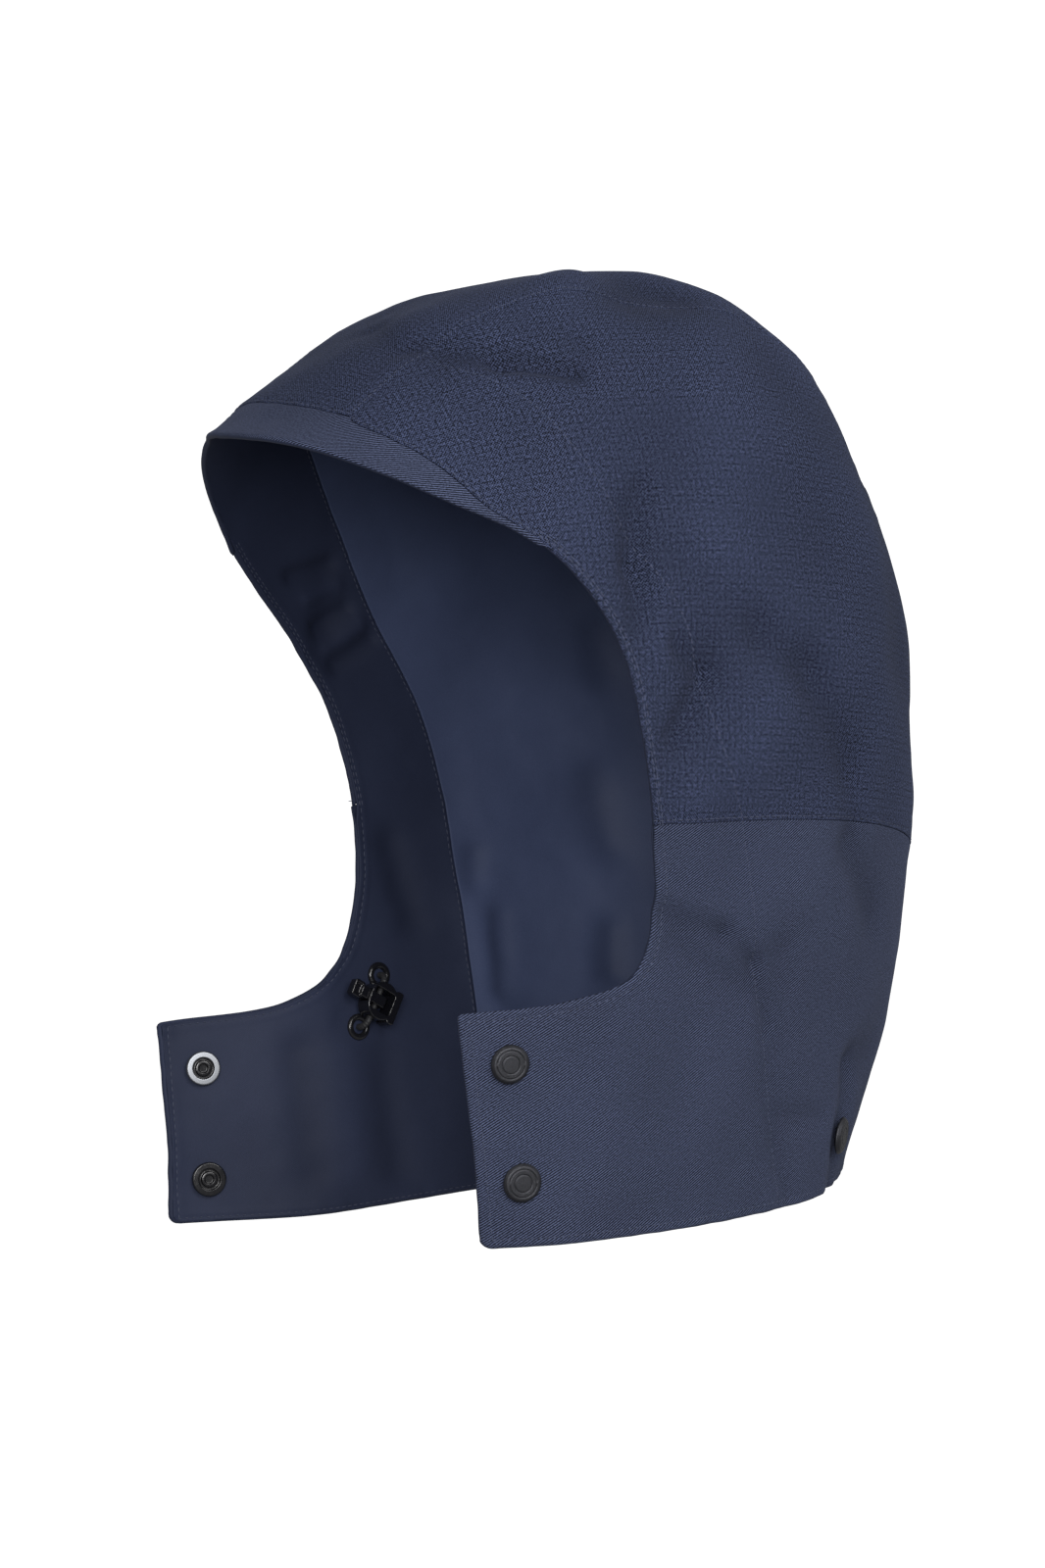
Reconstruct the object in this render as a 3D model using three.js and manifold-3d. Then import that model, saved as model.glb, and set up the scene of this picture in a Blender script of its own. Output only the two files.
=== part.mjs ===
import * as THREE from "three";
import Module from "manifold-3d";
import { mergeVertices } from "three/addons/utils/BufferGeometryUtils.js";

// A detachable cloth hood, open at the face and the neck. Millimetres, +Z up, the face towards -Y and the
// wearer's left towards +X. Heights below are counted from the hem; the last lines move the origin to the
// inside of the crown, where a head carries the hood.

// Overall form of the outer cloth
const hoodHeight = 373;
const headWidth = 218;
const centreHeight = 200;
const centreBack = -10;
const backReach = 187;
const frontReach = 160;
const squareness = 2.3;

// Cloth layers and the room between neighbouring pieces
const outerWall = 1.4;
const innerWall = 1.0;
const gap = 0.3;

// Panels
const crownWidth = 90;
const peakTurn = 139;
const peakPoint = 3;
const facingTurn = 118;
const bandWidth = 16;
const hemColumn = 6;
const neckSeamBack = 139;
const neckSeamArch = 6;
const flapDepth = 86;
const leftSwing = 9;
const rightSwing = 34;
const swingStart = 25;
const swingRun = 64;
const foldSpread = 10;
const foldRise = 4;

// Press studs
const capDiameter = 15;
const capHeight = 2.6;
const socketDiameter = 14.2;
const socketHeight = 2.2;
const snapSpacing = 45;
const snapTopInset = 19;
const napeSnapHeight = 31;
const napeSnapBack = 104;

// Profiles of the studs and eyelets, from the middle of the foot round to the middle of the top. Shares of
// the piece's radius and height.
const capRows = [
  { radius: 0, height: 0 },
  { radius: 0.86, height: 0 },
  { radius: 1, height: 0.25 },
  { radius: 1, height: 0.5 },
  { radius: 0.84, height: 0.9 },
  { radius: 0.5, height: 1 },
  { radius: 0, height: 1 },
];
const socketRows = [
  { radius: 0, height: 0 },
  { radius: 1, height: 0 },
  { radius: 1, height: 0.6 },
  { radius: 0.9, height: 1 },
  { radius: 0.6, height: 1 },
  { radius: 0.54, height: 0.3 },
  { radius: 0.32, height: 0.3 },
  { radius: 0.28, height: 0.8 },
  { radius: 0, height: 0.8 },
];
const capSides = 16;
const socketSides = 14;

// Draw cord, eyelets and cord locks
const cordDiameter = 3;
const eyeletDiameter = 11;
const eyeletBore = 5.6;
const eyeletHeight = 1.2;
const eyeletSides = 16;
const eyeletSpacing = 24;
const lockHeight = 79;
const lockBack = -7;
const lockLean = 30;
const lockBreadth = 16;
const lockThickness = 8;
const lockWall = 1.6;
const flangeThickness = 2;
const flangeBreadth = 14.4;
const lockRounding = 6.4;
const smallRounding = 1;
const runningClearance = 0.3;
const plungerTravel = 2.5;
const plungerBreadth = 4.6;
const plungerThickness = 5.4;
const plungerWall = 1.2;
const paddleLength = 5;
const paddleBreadth = 7;
const paddleThickness = 4;
const paddleRecess = 0.8;

// Where the inside of the crown rests on a head, as degrees of turn from the back
const headRestTurn = 77;

// Level sections of the hood. Shares of centreHeight, half of headWidth and backReach.
const sectionRows = [
  { height: -0.05, width: 0.826, back: 0.79 },
  { height: 0.2, width: 0.862, back: 0.888 },
  { height: 0.45, width: 0.908, back: 0.952 },
  { height: 0.7, width: 0.963, back: 0.984 },
  { height: 1, width: 1, back: 1 },
];

// Side view of the crown: how far it swells past a plain ellipse, by degrees of turn from the back.
const profileRows = [
  { turn: 0, swell: 1 },
  { turn: 30, swell: 1.04 },
  { turn: 60, swell: 1.075 },
  { turn: 90, swell: 1 },
  { turn: 115, swell: 0.965 },
  { turn: 135, swell: 0.98 },
  { turn: 146, swell: 1.065 },
  { turn: 160, swell: 1.1 },
  { turn: 180, swell: 1 },
];

// Width of the crown panel along its length, as a share of crownWidth.
const crownRows = [
  { turn: -25, width: 0.86 },
  { turn: 20, width: 0.98 },
  { turn: 55, width: 1.08 },
  { turn: 95, width: 1 },
  { turn: 145, width: 0.96 },
];

// The face opening: its edge and the stitch line of the facing behind it. y columns are shares of
// frontReach, z columns shares of hoodHeight.
const openingRows = {
  left: [
    { place: "brow", edgeY: -0.6, edgeZ: 0.762, seamY: -0.356, seamZ: 0.855 },
    { place: "temple", edgeY: -0.4, edgeZ: 0.706, seamY: -0.18, seamZ: 0.73 },
    { place: "cheek top", edgeY: -0.24, edgeZ: 0.622, seamY: -0.02, seamZ: 0.624 },
    { place: "cheek", edgeY: -0.17, edgeZ: 0.523, seamY: 0.056, seamZ: 0.527 },
    { place: "jaw", edgeY: -0.125, edgeZ: 0.43, seamY: 0.15, seamZ: 0.43 },
    { place: "under jaw", edgeY: -0.1, edgeZ: 0.344, seamY: 0.2, seamZ: 0.341 },
    { place: "throat", edgeY: -0.15, edgeZ: 0.28, seamY: 0.256, seamZ: 0.274 },
  ],
  right: [
    { place: "brow", edgeY: -0.62, edgeZ: 0.772, seamY: -0.344, seamZ: 0.855 },
    { place: "temple", edgeY: -0.46, edgeZ: 0.698, seamY: -0.14, seamZ: 0.75 },
    { place: "cheek top", edgeY: -0.22, edgeZ: 0.617, seamY: 0.012, seamZ: 0.645 },
    { place: "cheek", edgeY: -0.106, edgeZ: 0.529, seamY: 0.175, seamZ: 0.532 },
    { place: "jaw", edgeY: -0.044, edgeZ: 0.43, seamY: 0.244, seamZ: 0.43 },
    { place: "under jaw", edgeY: -0.044, edgeZ: 0.34, seamY: 0.27, seamZ: 0.341 },
    { place: "throat", edgeY: -0.112, edgeZ: 0.263, seamY: 0.275, seamZ: 0.263 },
  ],
};

// The front flaps, which go on from the throat. y columns are shares of frontReach, z of flapDepth.
const flapRows = {
  left: [
    { place: "flap top", edgeY: -0.312, edgeZ: 1.105, seamY: 0.294, seamZ: 0.93 },
    { place: "flap corner", edgeY: -0.575, edgeZ: 1.06, seamY: 0.33, seamZ: 0.56 },
    { place: "flap foot", edgeY: -0.49, edgeZ: 0.025, seamY: 0.39, seamZ: 0.055 },
  ],
  right: [
    { place: "flap top", edgeY: -0.28, edgeZ: 0.936, seamY: 0.28, seamZ: 0.84 },
    { place: "flap corner", edgeY: -0.566, edgeZ: 0.85, seamY: 0.33, seamZ: 0.49 },
    { place: "flap foot", edgeY: -0.562, edgeZ: -0.1, seamY: 0.375, seamZ: -0.025 },
  ],
};
const snapInset = { left: 16, right: 13 };
const hemAtNape = 15;

// Where columns of the neck panel start at the hem, as shares of the way from the nape to the flap's foot.
const hemShares = { crown: 0.2, seam: 0.55 };
const flapHemRows = [
  { station: 5, share: 0.65 },
  { station: 6, share: 0.75 },
  { station: 7, share: 0.84 },
  { station: 8, share: 0.91 },
  { station: 9, share: 1 },
];

// How much of bandWidth the peak band keeps, from the crown corner down each side.
const bandRows = [
  { station: 0, width: 1 },
  { station: 1, width: 0.42 },
  { station: 1.7, width: 0.16 },
];

// Folds and dents: a line on the cloth, how wide it spreads and how far it stands out. x is a share of half
// of headWidth, y of backReach, z of hoodHeight, width of foldSpread and rise of foldRise.
const foldRows = [
  { fold: "brow crease",
    x0: 0.45, y0: -0.41, z0: 0.9, x1: 0.6, y1: -0.14, z1: 0.915, width: 0.9, rise: -1 },
  { fold: "brow swell",
    x0: 0.4, y0: -0.3, z0: 0.94, x1: 0.42, y1: -0.1, z1: 0.96, width: 1.3, rise: 0.875 },
  { fold: "crown bump",
    x0: 0.34, y0: -0.03, z0: 0.985, x1: 0.3, y1: 0.01, z1: 0.99, width: 1.6, rise: 1.125 },
  { fold: "crown dip",
    x0: 0.45, y0: 0.1, z0: 0.97, x1: 0.4, y1: 0.2, z1: 0.98, width: 1.8, rise: -0.875 },
  { fold: "temple crease",
    x0: 0.92, y0: -0.16, z0: 0.75, x1: 0.97, y1: -0.12, z1: 0.65, width: 0.8, rise: -0.55 },
  { fold: "cheek hollow",
    x0: 0.99, y0: 0.04, z0: 0.6, x1: 1, y1: -0.04, z1: 0.5, width: 1.5, rise: -0.75 },
  { fold: "jaw wrinkle",
    x0: 0.94, y0: -0.03, z0: 0.31, x1: 0.9, y1: 0.17, z1: 0.26, width: 0.7, rise: -0.4 },
  { fold: "nape pleat",
    x0: 0.7, y0: 0.57, z0: 0.16, x1: 0.66, y1: 0.57, z1: 0.02, width: 0.7, rise: -0.75 },
  { fold: "nape notch",
    x0: 0.55, y0: 0.66, z0: 0.17, x1: 0.7, y1: 0.6, z1: 0.165, width: 0.9, rise: -0.625 },
  { fold: "far brow",
    x0: -0.92, y0: -0.12, z0: 0.68, x1: -0.95, y1: -0.11, z1: 0.6, width: 0.9, rise: 0.55 },
  { fold: "far nape",
    x0: -0.86, y0: 0.27, z0: 0.33, x1: -0.82, y1: 0.3, z1: 0.18, width: 1, rise: -0.6 },
  { fold: "back crease",
    x0: -0.3, y0: 0.88, z0: 0.36, x1: 0.25, y1: 0.86, z1: 0.3, width: 1.2, rise: -0.65 },
  { fold: "far crown",
    x0: -0.42, y0: -0.1, z0: 0.96, x1: -0.5, y1: 0.15, z1: 0.95, width: 1.6, rise: -0.625 },
];

const halfWidth = headWidth / 2;
const crownRise = hoodHeight - centreHeight;
const seamGap = gap / 2;
const innerDepth = outerWall + gap;
const insideDepth = innerDepth + innerWall;
const sides = [
  { side: "left", sign: 1 },
  { side: "right", sign: -1 },
];

const canvas = new THREE.MeshStandardMaterial({ color: 0x3b4058, roughness: 0.9, metalness: 0 });
const twill = new THREE.MeshStandardMaterial({ color: 0x3d435c, roughness: 0.88, metalness: 0 });
const liningCloth = new THREE.MeshStandardMaterial({ color: 0x2d3348, roughness: 0.6, metalness: 0 });
const blackMetal = new THREE.MeshStandardMaterial({ color: 0x24262b, roughness: 0.45, metalness: 0.7 });
const nickel = new THREE.MeshStandardMaterial({ color: 0xb9bcc2, roughness: 0.3, metalness: 1 });
const darkPlastic = new THREE.MeshStandardMaterial({ color: 0x3a3b40, roughness: 0.55, metalness: 0 });
const gloss = new THREE.MeshStandardMaterial({ color: 0x15161a, roughness: 0.2, metalness: 0.5 });
const cordBlack = new THREE.MeshStandardMaterial({ color: 0x16171c, roughness: 0.5, metalness: 0 });

// A smooth curve through the rows of a table, read at one value of its key column.
function readTable(rows, key, column, at) {
  const last = rows.length - 1;
  const clamped = Math.min(Math.max(at, rows[0][key]), rows[last][key]);
  let i = 0;
  while (i < last - 1 && clamped > rows[i + 1][key]) i += 1;
  const slope = (k) => {
    const before = rows[Math.max(k - 1, 0)];
    const after = rows[Math.min(k + 1, last)];
    return (after[column] - before[column]) / (after[key] - before[key]);
  };
  const span = rows[i + 1][key] - rows[i][key];
  const t = (clamped - rows[i][key]) / span;
  const startSlope = slope(i) * span;
  const endSlope = i + 1 === last ? 0 : slope(i + 1) * span;
  return (2 * t ** 3 - 3 * t ** 2 + 1) * rows[i][column] + (t ** 3 - 2 * t ** 2 + t) * startSlope
    + (3 * t ** 2 - 2 * t ** 3) * rows[i + 1][column] + (t ** 3 - t ** 2) * endSlope;
}

function widthAt(z) {
  return halfWidth * readTable(sectionRows, "height", "width", z / centreHeight);
}

function backAt(z) {
  return backReach * readTable(sectionRows, "height", "back", z / centreHeight);
}

// Distance from the centre of the head to the crown's outline, in side view.
function outlineAt(turn) {
  const angle = THREE.MathUtils.degToRad(turn);
  const reach = Math.cos(angle) >= 0 ? backReach : frontReach;
  const ellipse = 1 / Math.hypot(Math.cos(angle) / reach, Math.sin(angle) / crownRise);
  return ellipse * readTable(profileRows, "turn", "swell", turn);
}

// One on the plain form of the outer cloth, less inside it.
function gauge(p) {
  const y = p.y - centreBack;
  const z = p.z - centreHeight;
  let side = Math.abs(y) / (y >= 0 ? backAt(p.z) : frontReach);
  if (z > 0) side = Math.hypot(y, z) / outlineAt(THREE.MathUtils.radToDeg(Math.atan2(z, y)));
  return ((Math.abs(p.x) / widthAt(p.z)) ** squareness + side ** squareness) ** (1 / squareness);
}

// Moves a point straight out from the middle of the head until it lies on the plain form.
function ontoForm(p) {
  const scale = 1 / gauge(p);
  const pivot = Math.min(p.z, centreHeight);
  const y = centreBack + (p.y - centreBack) * scale;
  return new THREE.Vector3(p.x * scale, y, pivot + (p.z - pivot) * scale);
}

// Direction straight off the plain form.
const probeStep = 0.5;
function outward(p) {
  const step = probeStep;
  const slope = (dx, dy, dz) => {
    const ahead = new THREE.Vector3(p.x + dx, p.y + dy, p.z + dz);
    const behind = new THREE.Vector3(p.x - dx, p.y - dy, p.z - dz);
    return gauge(ahead) - gauge(behind);
  };
  return new THREE.Vector3(slope(step, 0, 0), slope(0, step, 0), slope(0, 0, step)).normalize();
}

function foldAt(p) {
  let rise = 0;
  for (const row of foldRows) {
    const start = new THREE.Vector3(row.x0 * halfWidth, row.y0 * backReach, row.z0 * hoodHeight);
    const end = new THREE.Vector3(row.x1 * halfWidth, row.y1 * backReach, row.z1 * hoodHeight);
    const nearest = new THREE.Line3(start, end).closestPointToPoint(p, true, new THREE.Vector3());
    const spread = nearest.distanceTo(p) / (foldSpread * row.width);
    rise += foldRise * row.rise * Math.exp(-(spread ** 2));
  }
  return rise;
}

// Both flaps lean to the wearer's right, the right one wide open.
function swingAt(p) {
  const run = Math.min(Math.max((-swingStart - p.y) / swingRun, 0), 1.5);
  const low = 1 - THREE.MathUtils.smoothstep(p.z, 0.3 * hoodHeight, 0.5 * hoodHeight);
  const swing = p.x > 0 ? leftSwing : rightSwing;
  return -swing * run * run * (2 - run) * low;
}

// The real place of a point of the plain form, at some depth under the outer face of the cloth.
function skin(p, depth) {
  const place = p.clone().addScaledVector(outward(p), foldAt(p) - depth);
  place.x += swingAt(p);
  return place;
}

function named(name, geometry, material) {
  const mesh = new THREE.Mesh(geometry, material);
  mesh.name = name;
  return mesh;
}

// Point of the plain form over a place in side view.
function sidePoint(sign, y, z) {
  const probe = gauge(new THREE.Vector3(0, y, z));
  const x = widthAt(z) * Math.max(1 - probe ** squareness, 0) ** (1 / squareness);
  return new THREE.Vector3(sign * x, y, z);
}

// Point of the crown panel: x across, turn along its length. Negative turns go down the back of the neck.
function crownPoint(x, turn) {
  const across = (1 - (Math.abs(x) / halfWidth) ** squareness) ** (1 / squareness);
  if (turn < 0) {
    const z = centreHeight + THREE.MathUtils.degToRad(turn) * backReach;
    return ontoForm(new THREE.Vector3(x, centreBack + across * backAt(z), z));
  }
  const angle = THREE.MathUtils.degToRad(turn);
  const reach = across * outlineAt(turn);
  return new THREE.Vector3(x, centreBack + reach * Math.cos(angle), centreHeight + reach * Math.sin(angle));
}

function crownHalf(turn) {
  return 0.5 * crownWidth * readTable(crownRows, "turn", "width", turn);
}

// Point at one height, turned round from the nape (0) through the side (90) to the front.
function roundPoint(sign, turn, z) {
  const angle = THREE.MathUtils.degToRad(turn);
  const reach = Math.cos(angle) >= 0 ? backAt(z) : frontReach;
  const x = sign * widthAt(z) * Math.sin(angle);
  return ontoForm(new THREE.Vector3(x, centreBack + reach * Math.cos(angle), z));
}

const neckTurn = -THREE.MathUtils.radToDeg((centreHeight - neckSeamBack) / backReach);

// Stations along the face opening: 0 at the crown seam, 5 at the neck seam, 9 at the flap's corner and 10
// at its foot. The peak band ends at bandEnd.
const jaw = 5;
const flapCorner = 9;
const bandEnd = bandRows[bandRows.length - 1].station;
const bandRibs = 5;
const sideRibs = 18;
const stripColumns = 4;
const sideColumns = 6;
const crownColumns = 6;
const flapColumns = 9;
const neckRows = 5;

function openingCurves(side, sign) {
  const corner = (turn) => crownPoint(sign * crownHalf(turn), turn).setX(0);
  const spline = (first, y, z) => {
    const placed = (rows, height) =>
      rows.map((row) => new THREE.Vector3(0, row[y] * frontReach, row[z] * height));
    const high = placed(openingRows[side], hoodHeight);
    const low = placed(flapRows[side], flapDepth);
    const points = [first, ...high, ...low.slice(0, 2)];
    return { curve: new THREE.CatmullRomCurve3(points), last: points.length - 1, foot: low[2] };
  };
  const edge = spline(corner(peakTurn), "edgeY", "edgeZ");
  const seam = spline(corner(facingTurn), "seamY", "seamZ");
  return { edge, seam };
}
const opening = { left: openingCurves("left", 1), right: openingCurves("right", -1) };

// A place on the opening's edge or on the facing's seam, in side view.
function openingPlace(side, line, station) {
  const { curve, last, foot } = opening[side][line];
  const place = curve.getPoint(Math.min(station, last) / last);
  return station > last ? place.lerp(foot, station - last) : place;
}

function stationOf(rib) {
  if (rib <= bandRibs) return (bandEnd * rib) / bandRibs;
  return bandEnd + ((jaw - bandEnd) * (rib - bandRibs)) / (sideRibs - bandRibs);
}

function crownTurnOf(rib) {
  return THREE.MathUtils.lerp(facingTurn, neckTurn, stationOf(rib) / jaw);
}

// Share of the way from the edge to the facing's seam at which a column of the strip runs. Column 1 is
// the seam of the peak band.
function stripShare(column, station, length) {
  if (column === 0) return 0;
  const past = Math.min(Math.max(station - bandEnd, 0), 1);
  const band = bandWidth * readTable(bandRows, "station", "width", station);
  const first = THREE.MathUtils.lerp(band, hemColumn, past) / length;
  return THREE.MathUtils.lerp(first, 1, (column - 1) / (stripColumns - 1));
}

// Length of the strip where it lies along the crown seam.
const cornerStrip = THREE.MathUtils.degToRad(peakTurn - facingTurn) * frontReach;

// The places of one side: ribs from the face edge over the facing's seam to the crown seam.
function sideGrid(side, sign) {
  const grid = [];
  for (let rib = 0; rib <= sideRibs; rib += 1) {
    const station = stationOf(rib);
    const edge = openingPlace(side, "edge", station);
    const seam = openingPlace(side, "seam", station);
    const turn = crownTurnOf(rib);
    const back = crownPoint(sign * crownHalf(turn), turn);
    const row = [];
    for (let column = 0; column <= stripColumns; column += 1) {
      const place = edge.clone().lerp(seam, stripShare(column, station, edge.distanceTo(seam)));
      const along = THREE.MathUtils.lerp(peakTurn, facingTurn, stripShare(column, 0, cornerStrip));
      const corner = crownPoint(sign * crownHalf(along), along);
      row.push(rib === 0 ? corner : sidePoint(sign, place.y, place.z));
    }
    for (let column = 1; column <= sideColumns; column += 1) {
      const share = column / sideColumns;
      const place = row[stripColumns].clone().lerp(back, share);
      place.z += 4 * share * (1 - share) * neckSeamArch * (station / jaw) ** 6;
      row.push(ontoForm(place));
    }
    grid.push(row);
  }
  return grid;
}

// The places of the crown: rows across, from the face edge over the top to the neck seam.
function crownGrid() {
  const row = (turnAt) => {
    const points = [];
    for (let column = 0; column <= crownColumns; column += 1) {
      const share = 1 - (2 * column) / crownColumns;
      const turn = turnAt(share);
      points.push(crownPoint(share * crownHalf(turn), turn));
    }
    return points;
  };
  const grid = [];
  for (let column = 0; column <= stripColumns; column += 1) {
    const along = stripShare(column, 0, cornerStrip);
    const edgeTurn = (share) => peakTurn + peakPoint * (1 - share * share);
    grid.push(row((share) => THREE.MathUtils.lerp(edgeTurn(share), facingTurn, along)));
  }
  for (let rib = 1; rib <= sideRibs; rib += 1) grid.push(row(() => crownTurnOf(rib)));
  return grid;
}

// The hem, from the nape (0) to the flap's foot (1).
function hemPoint(side, sign, share) {
  const foot = opening[side].edge.foot;
  const front = sidePoint(sign, foot.y, foot.z);
  const across = Math.abs(front.x) / widthAt(foot.z);
  const along = (front.y - centreBack) / frontReach;
  const footTurn = THREE.MathUtils.radToDeg(Math.atan2(across, along));
  const z = foot.z + (hemAtNape - foot.z) * (1 - share) ** 1.5;
  return roundPoint(sign, footTurn * share, z);
}

function neckColumn(side, sign, share, top) {
  const hem = hemPoint(side, sign, share);
  const points = [];
  for (let row = 0; row <= neckRows; row += 1) points.push(ontoForm(hem.clone().lerp(top, row / neckRows)));
  return points;
}

// The places of the neck, one side: columns from the crown seam round to the flap's front edge.
function neckGrid(side, sign, bottomRib) {
  const grid = [];
  const last = stripColumns + sideColumns;
  for (let column = last; column >= 0; column -= 1) {
    const behind = THREE.MathUtils.lerp(hemShares.crown, hemShares.seam, (last - column) / sideColumns);
    const before = THREE.MathUtils.lerp(flapHemRows[0].share, hemShares.seam, column / stripColumns);
    grid.push(neckColumn(side, sign, column > stripColumns ? behind : before, bottomRib[column]));
  }
  for (let column = 1; column <= flapColumns; column += 1) {
    const station = THREE.MathUtils.lerp(jaw, flapCorner, column / flapColumns);
    const place = openingPlace(side, "edge", station);
    const top = sidePoint(sign, place.y, place.z);
    grid.push(neckColumn(side, sign, readTable(flapHemRows, "station", "share", station), top));
  }
  return grid;
}

// The places of the nape, between the crown seams.
function napeGrid(bottomRow) {
  return bottomRow.map((top, column) => {
    const share = 1 - (2 * column) / crownColumns;
    const side = share >= 0 ? "left" : "right";
    return neckColumn(side, Math.sign(share), Math.abs(share) * hemShares.crown, top);
  });
}

function columnsOf(grid, first, last) {
  return grid.map((row) => row.slice(first, last + 1));
}

const key = (p) => p.toArray().map((value) => (value + 1000).toFixed(2)).join(" ");

// A cloth panel: closed wall over patches of places that share their border points, between two depths.
// Its outline is drawn in by half the gap, so that neighbours clear each other.
function clothPanel(name, patches, material, depth, thickness) {
  const places = [];
  const numbers = new Map();
  const faces = [];
  const numberOf = (p) => {
    if (!numbers.has(key(p))) {
      numbers.set(key(p), places.length);
      places.push(p);
    }
    return numbers.get(key(p));
  };
  const addFace = (p, q, r) => {
    const ids = [numberOf(p), numberOf(q), numberOf(r)];
    if (new Set(ids).size < 3) return;
    const normal = q.clone().sub(p).cross(r.clone().sub(p));
    faces.push(normal.dot(outward(p)) > 0 ? ids : [ids[0], ids[2], ids[1]]);
  };
  for (const grid of patches) {
    for (let i = 0; i + 1 < grid.length; i += 1) {
      for (let j = 0; j + 1 < grid[i].length; j += 1) {
        addFace(grid[i][j], grid[i + 1][j], grid[i + 1][j + 1]);
        addFace(grid[i][j], grid[i + 1][j + 1], grid[i][j + 1]);
      }
    }
  }
  const border = borderOf(faces);
  const drawn = drawnIn(places, border, seamGap);
  const vertices = [...drawn.map((p) => skin(p, depth)), ...drawn.map((p) => skin(p, depth + thickness))];
  const under = places.length;
  const index = [];
  for (const [a, b, c] of faces) index.push(a, b, c, under + a, under + c, under + b);
  for (const [a, b] of border) index.push(b, a, under + a, b, under + a, under + b);
  const geometry = new THREE.BufferGeometry();
  geometry.setFromPoints(vertices);
  geometry.setIndex(index);
  geometry.computeVertexNormals();
  return named(name, geometry, material);
}

// Edges that belong to one face only, as a map from each point to the next.
function borderOf(faces) {
  const edges = new Set();
  for (const [a, b, c] of faces) [[a, b], [b, c], [c, a]].forEach((edge) => edges.add(edge.join()));
  const border = new Map();
  for (const edge of edges) {
    const [a, b] = edge.split(",").map(Number);
    if (!edges.has([b, a].join())) border.set(a, b);
  }
  return border;
}

function drawnIn(places, border, amount) {
  const drawn = places.map((p) => p.clone());
  const before = new Map([...border].map(([a, b]) => [b, a]));
  for (const [id, next] of border) {
    const normal = outward(places[id]);
    const into = (from, to) => normal.clone().cross(places[to].clone().sub(places[from])).normalize();
    const first = into(before.get(id), id);
    const second = into(id, next);
    const reach = amount / Math.max(1 + first.dot(second), 0.4);
    drawn[id].addScaledVector(first.add(second), reach);
  }
  return drawn;
}

// All cloth panels, outer layer and inner layer
const left = sideGrid("left", 1);
const right = sideGrid("right", -1);
const crown = crownGrid();
const leftNeck = neckGrid("left", 1, left[sideRibs]);
const rightNeck = neckGrid("right", -1, right[sideRibs]);
const nape = napeGrid(crown[crown.length - 1]);
const allColumns = stripColumns + sideColumns;

function outerPanels() {
  const side = (grid) => [
    columnsOf(grid.slice(0, bandRibs + 1), 1, allColumns),
    columnsOf(grid.slice(bandRibs), 0, allColumns),
  ];
  const bandOf = (grid) => columnsOf(grid.slice(0, bandRibs + 1), 0, 1);
  const panel = (name, patches, material) => clothPanel(name, patches, material, 0, outerWall);
  return [
    panel("crown_panel", [crown.slice(1)], canvas),
    panel("side_panel_left", side(left), canvas),
    panel("side_panel_right", side(right), canvas),
    panel("neck_panel", [leftNeck, nape, rightNeck], twill),
    panel("peak_band", [bandOf(left), crown.slice(0, 2), bandOf(right)], twill),
  ];
}

function innerPanels() {
  const strip = (grid) => columnsOf(grid, 0, stripColumns);
  const behind = (grid) => columnsOf(grid, stripColumns, allColumns);
  const flap = (grid) => grid.slice(sideColumns);
  const backNeck = (grid) => grid.slice(0, sideColumns + 1);
  const crownStrip = crown.slice(0, stripColumns + 1);
  const facing = [strip(left), crownStrip, strip(right), flap(leftNeck), flap(rightNeck)];
  const panel = (name, patches) => clothPanel(name, patches, liningCloth, innerDepth, innerWall);
  return [
    panel("front_facing", facing),
    panel("lining_left", [behind(left), backNeck(leftNeck)]),
    panel("lining_right", [behind(right), backNeck(rightNeck)]),
    panel("lining_crown", [crown.slice(stripColumns), nape]),
  ];
}

const flatReach = 4;

// Local axes on the cloth: z straight off it, outwards or into the hood, y up along it.
function clothAxes(p, depth, outside) {
  const reach = flatReach;
  const normal = outward(p);
  const level = new THREE.Vector3(0, 0, 1).cross(normal).normalize();
  const rise = normal.clone().cross(level);
  const across = (direction) => {
    const ahead = skin(ontoForm(p.clone().addScaledVector(direction, reach)), depth);
    const behind = skin(ontoForm(p.clone().addScaledVector(direction, -reach)), depth);
    return ahead.sub(behind).normalize();
  };
  const off = across(level).cross(across(rise)).normalize().multiplyScalar(outside ? 1 : -1);
  const up = rise.addScaledVector(off, -rise.dot(off)).normalize();
  return { place: skin(p, depth), x: up.clone().cross(off), y: up, z: off };
}

// How far along z a flat round foot must stand off to clear a panel by the gap.
function standOff(axes, radius, panel) {
  const start = 20;
  const caster = new THREE.Raycaster();
  let highest = -start;
  for (const ring of [0, 0.5, 1]) {
    for (let turn = 0; turn < 360; turn += 30) {
      const angle = THREE.MathUtils.degToRad(turn);
      const from = axes.place.clone().addScaledVector(axes.z, start);
      from.addScaledVector(axes.x, ring * radius * Math.cos(angle));
      from.addScaledVector(axes.y, ring * radius * Math.sin(angle));
      caster.set(from, axes.z.clone().negate());
      const hits = caster.intersectObject(panel, false);
      if (hits.length > 0) highest = Math.max(highest, start - hits[0].distance);
    }
  }
  return highest + gap;
}

function seat(mesh, axes, lift) {
  mesh.position.copy(axes.place).addScaledVector(axes.z, lift);
  mesh.quaternion.setFromRotationMatrix(new THREE.Matrix4().makeBasis(axes.x, axes.y, axes.z));
  return mesh;
}

function turned(points, segments) {
  return new THREE.LatheGeometry(points, segments).rotateX(Math.PI / 2);
}

function turnedRows(rows, diameter, height, segments) {
  const points = rows.map((row) => new THREE.Vector2((row.radius * diameter) / 2, row.height * height));
  return turned(points, segments);
}

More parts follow.
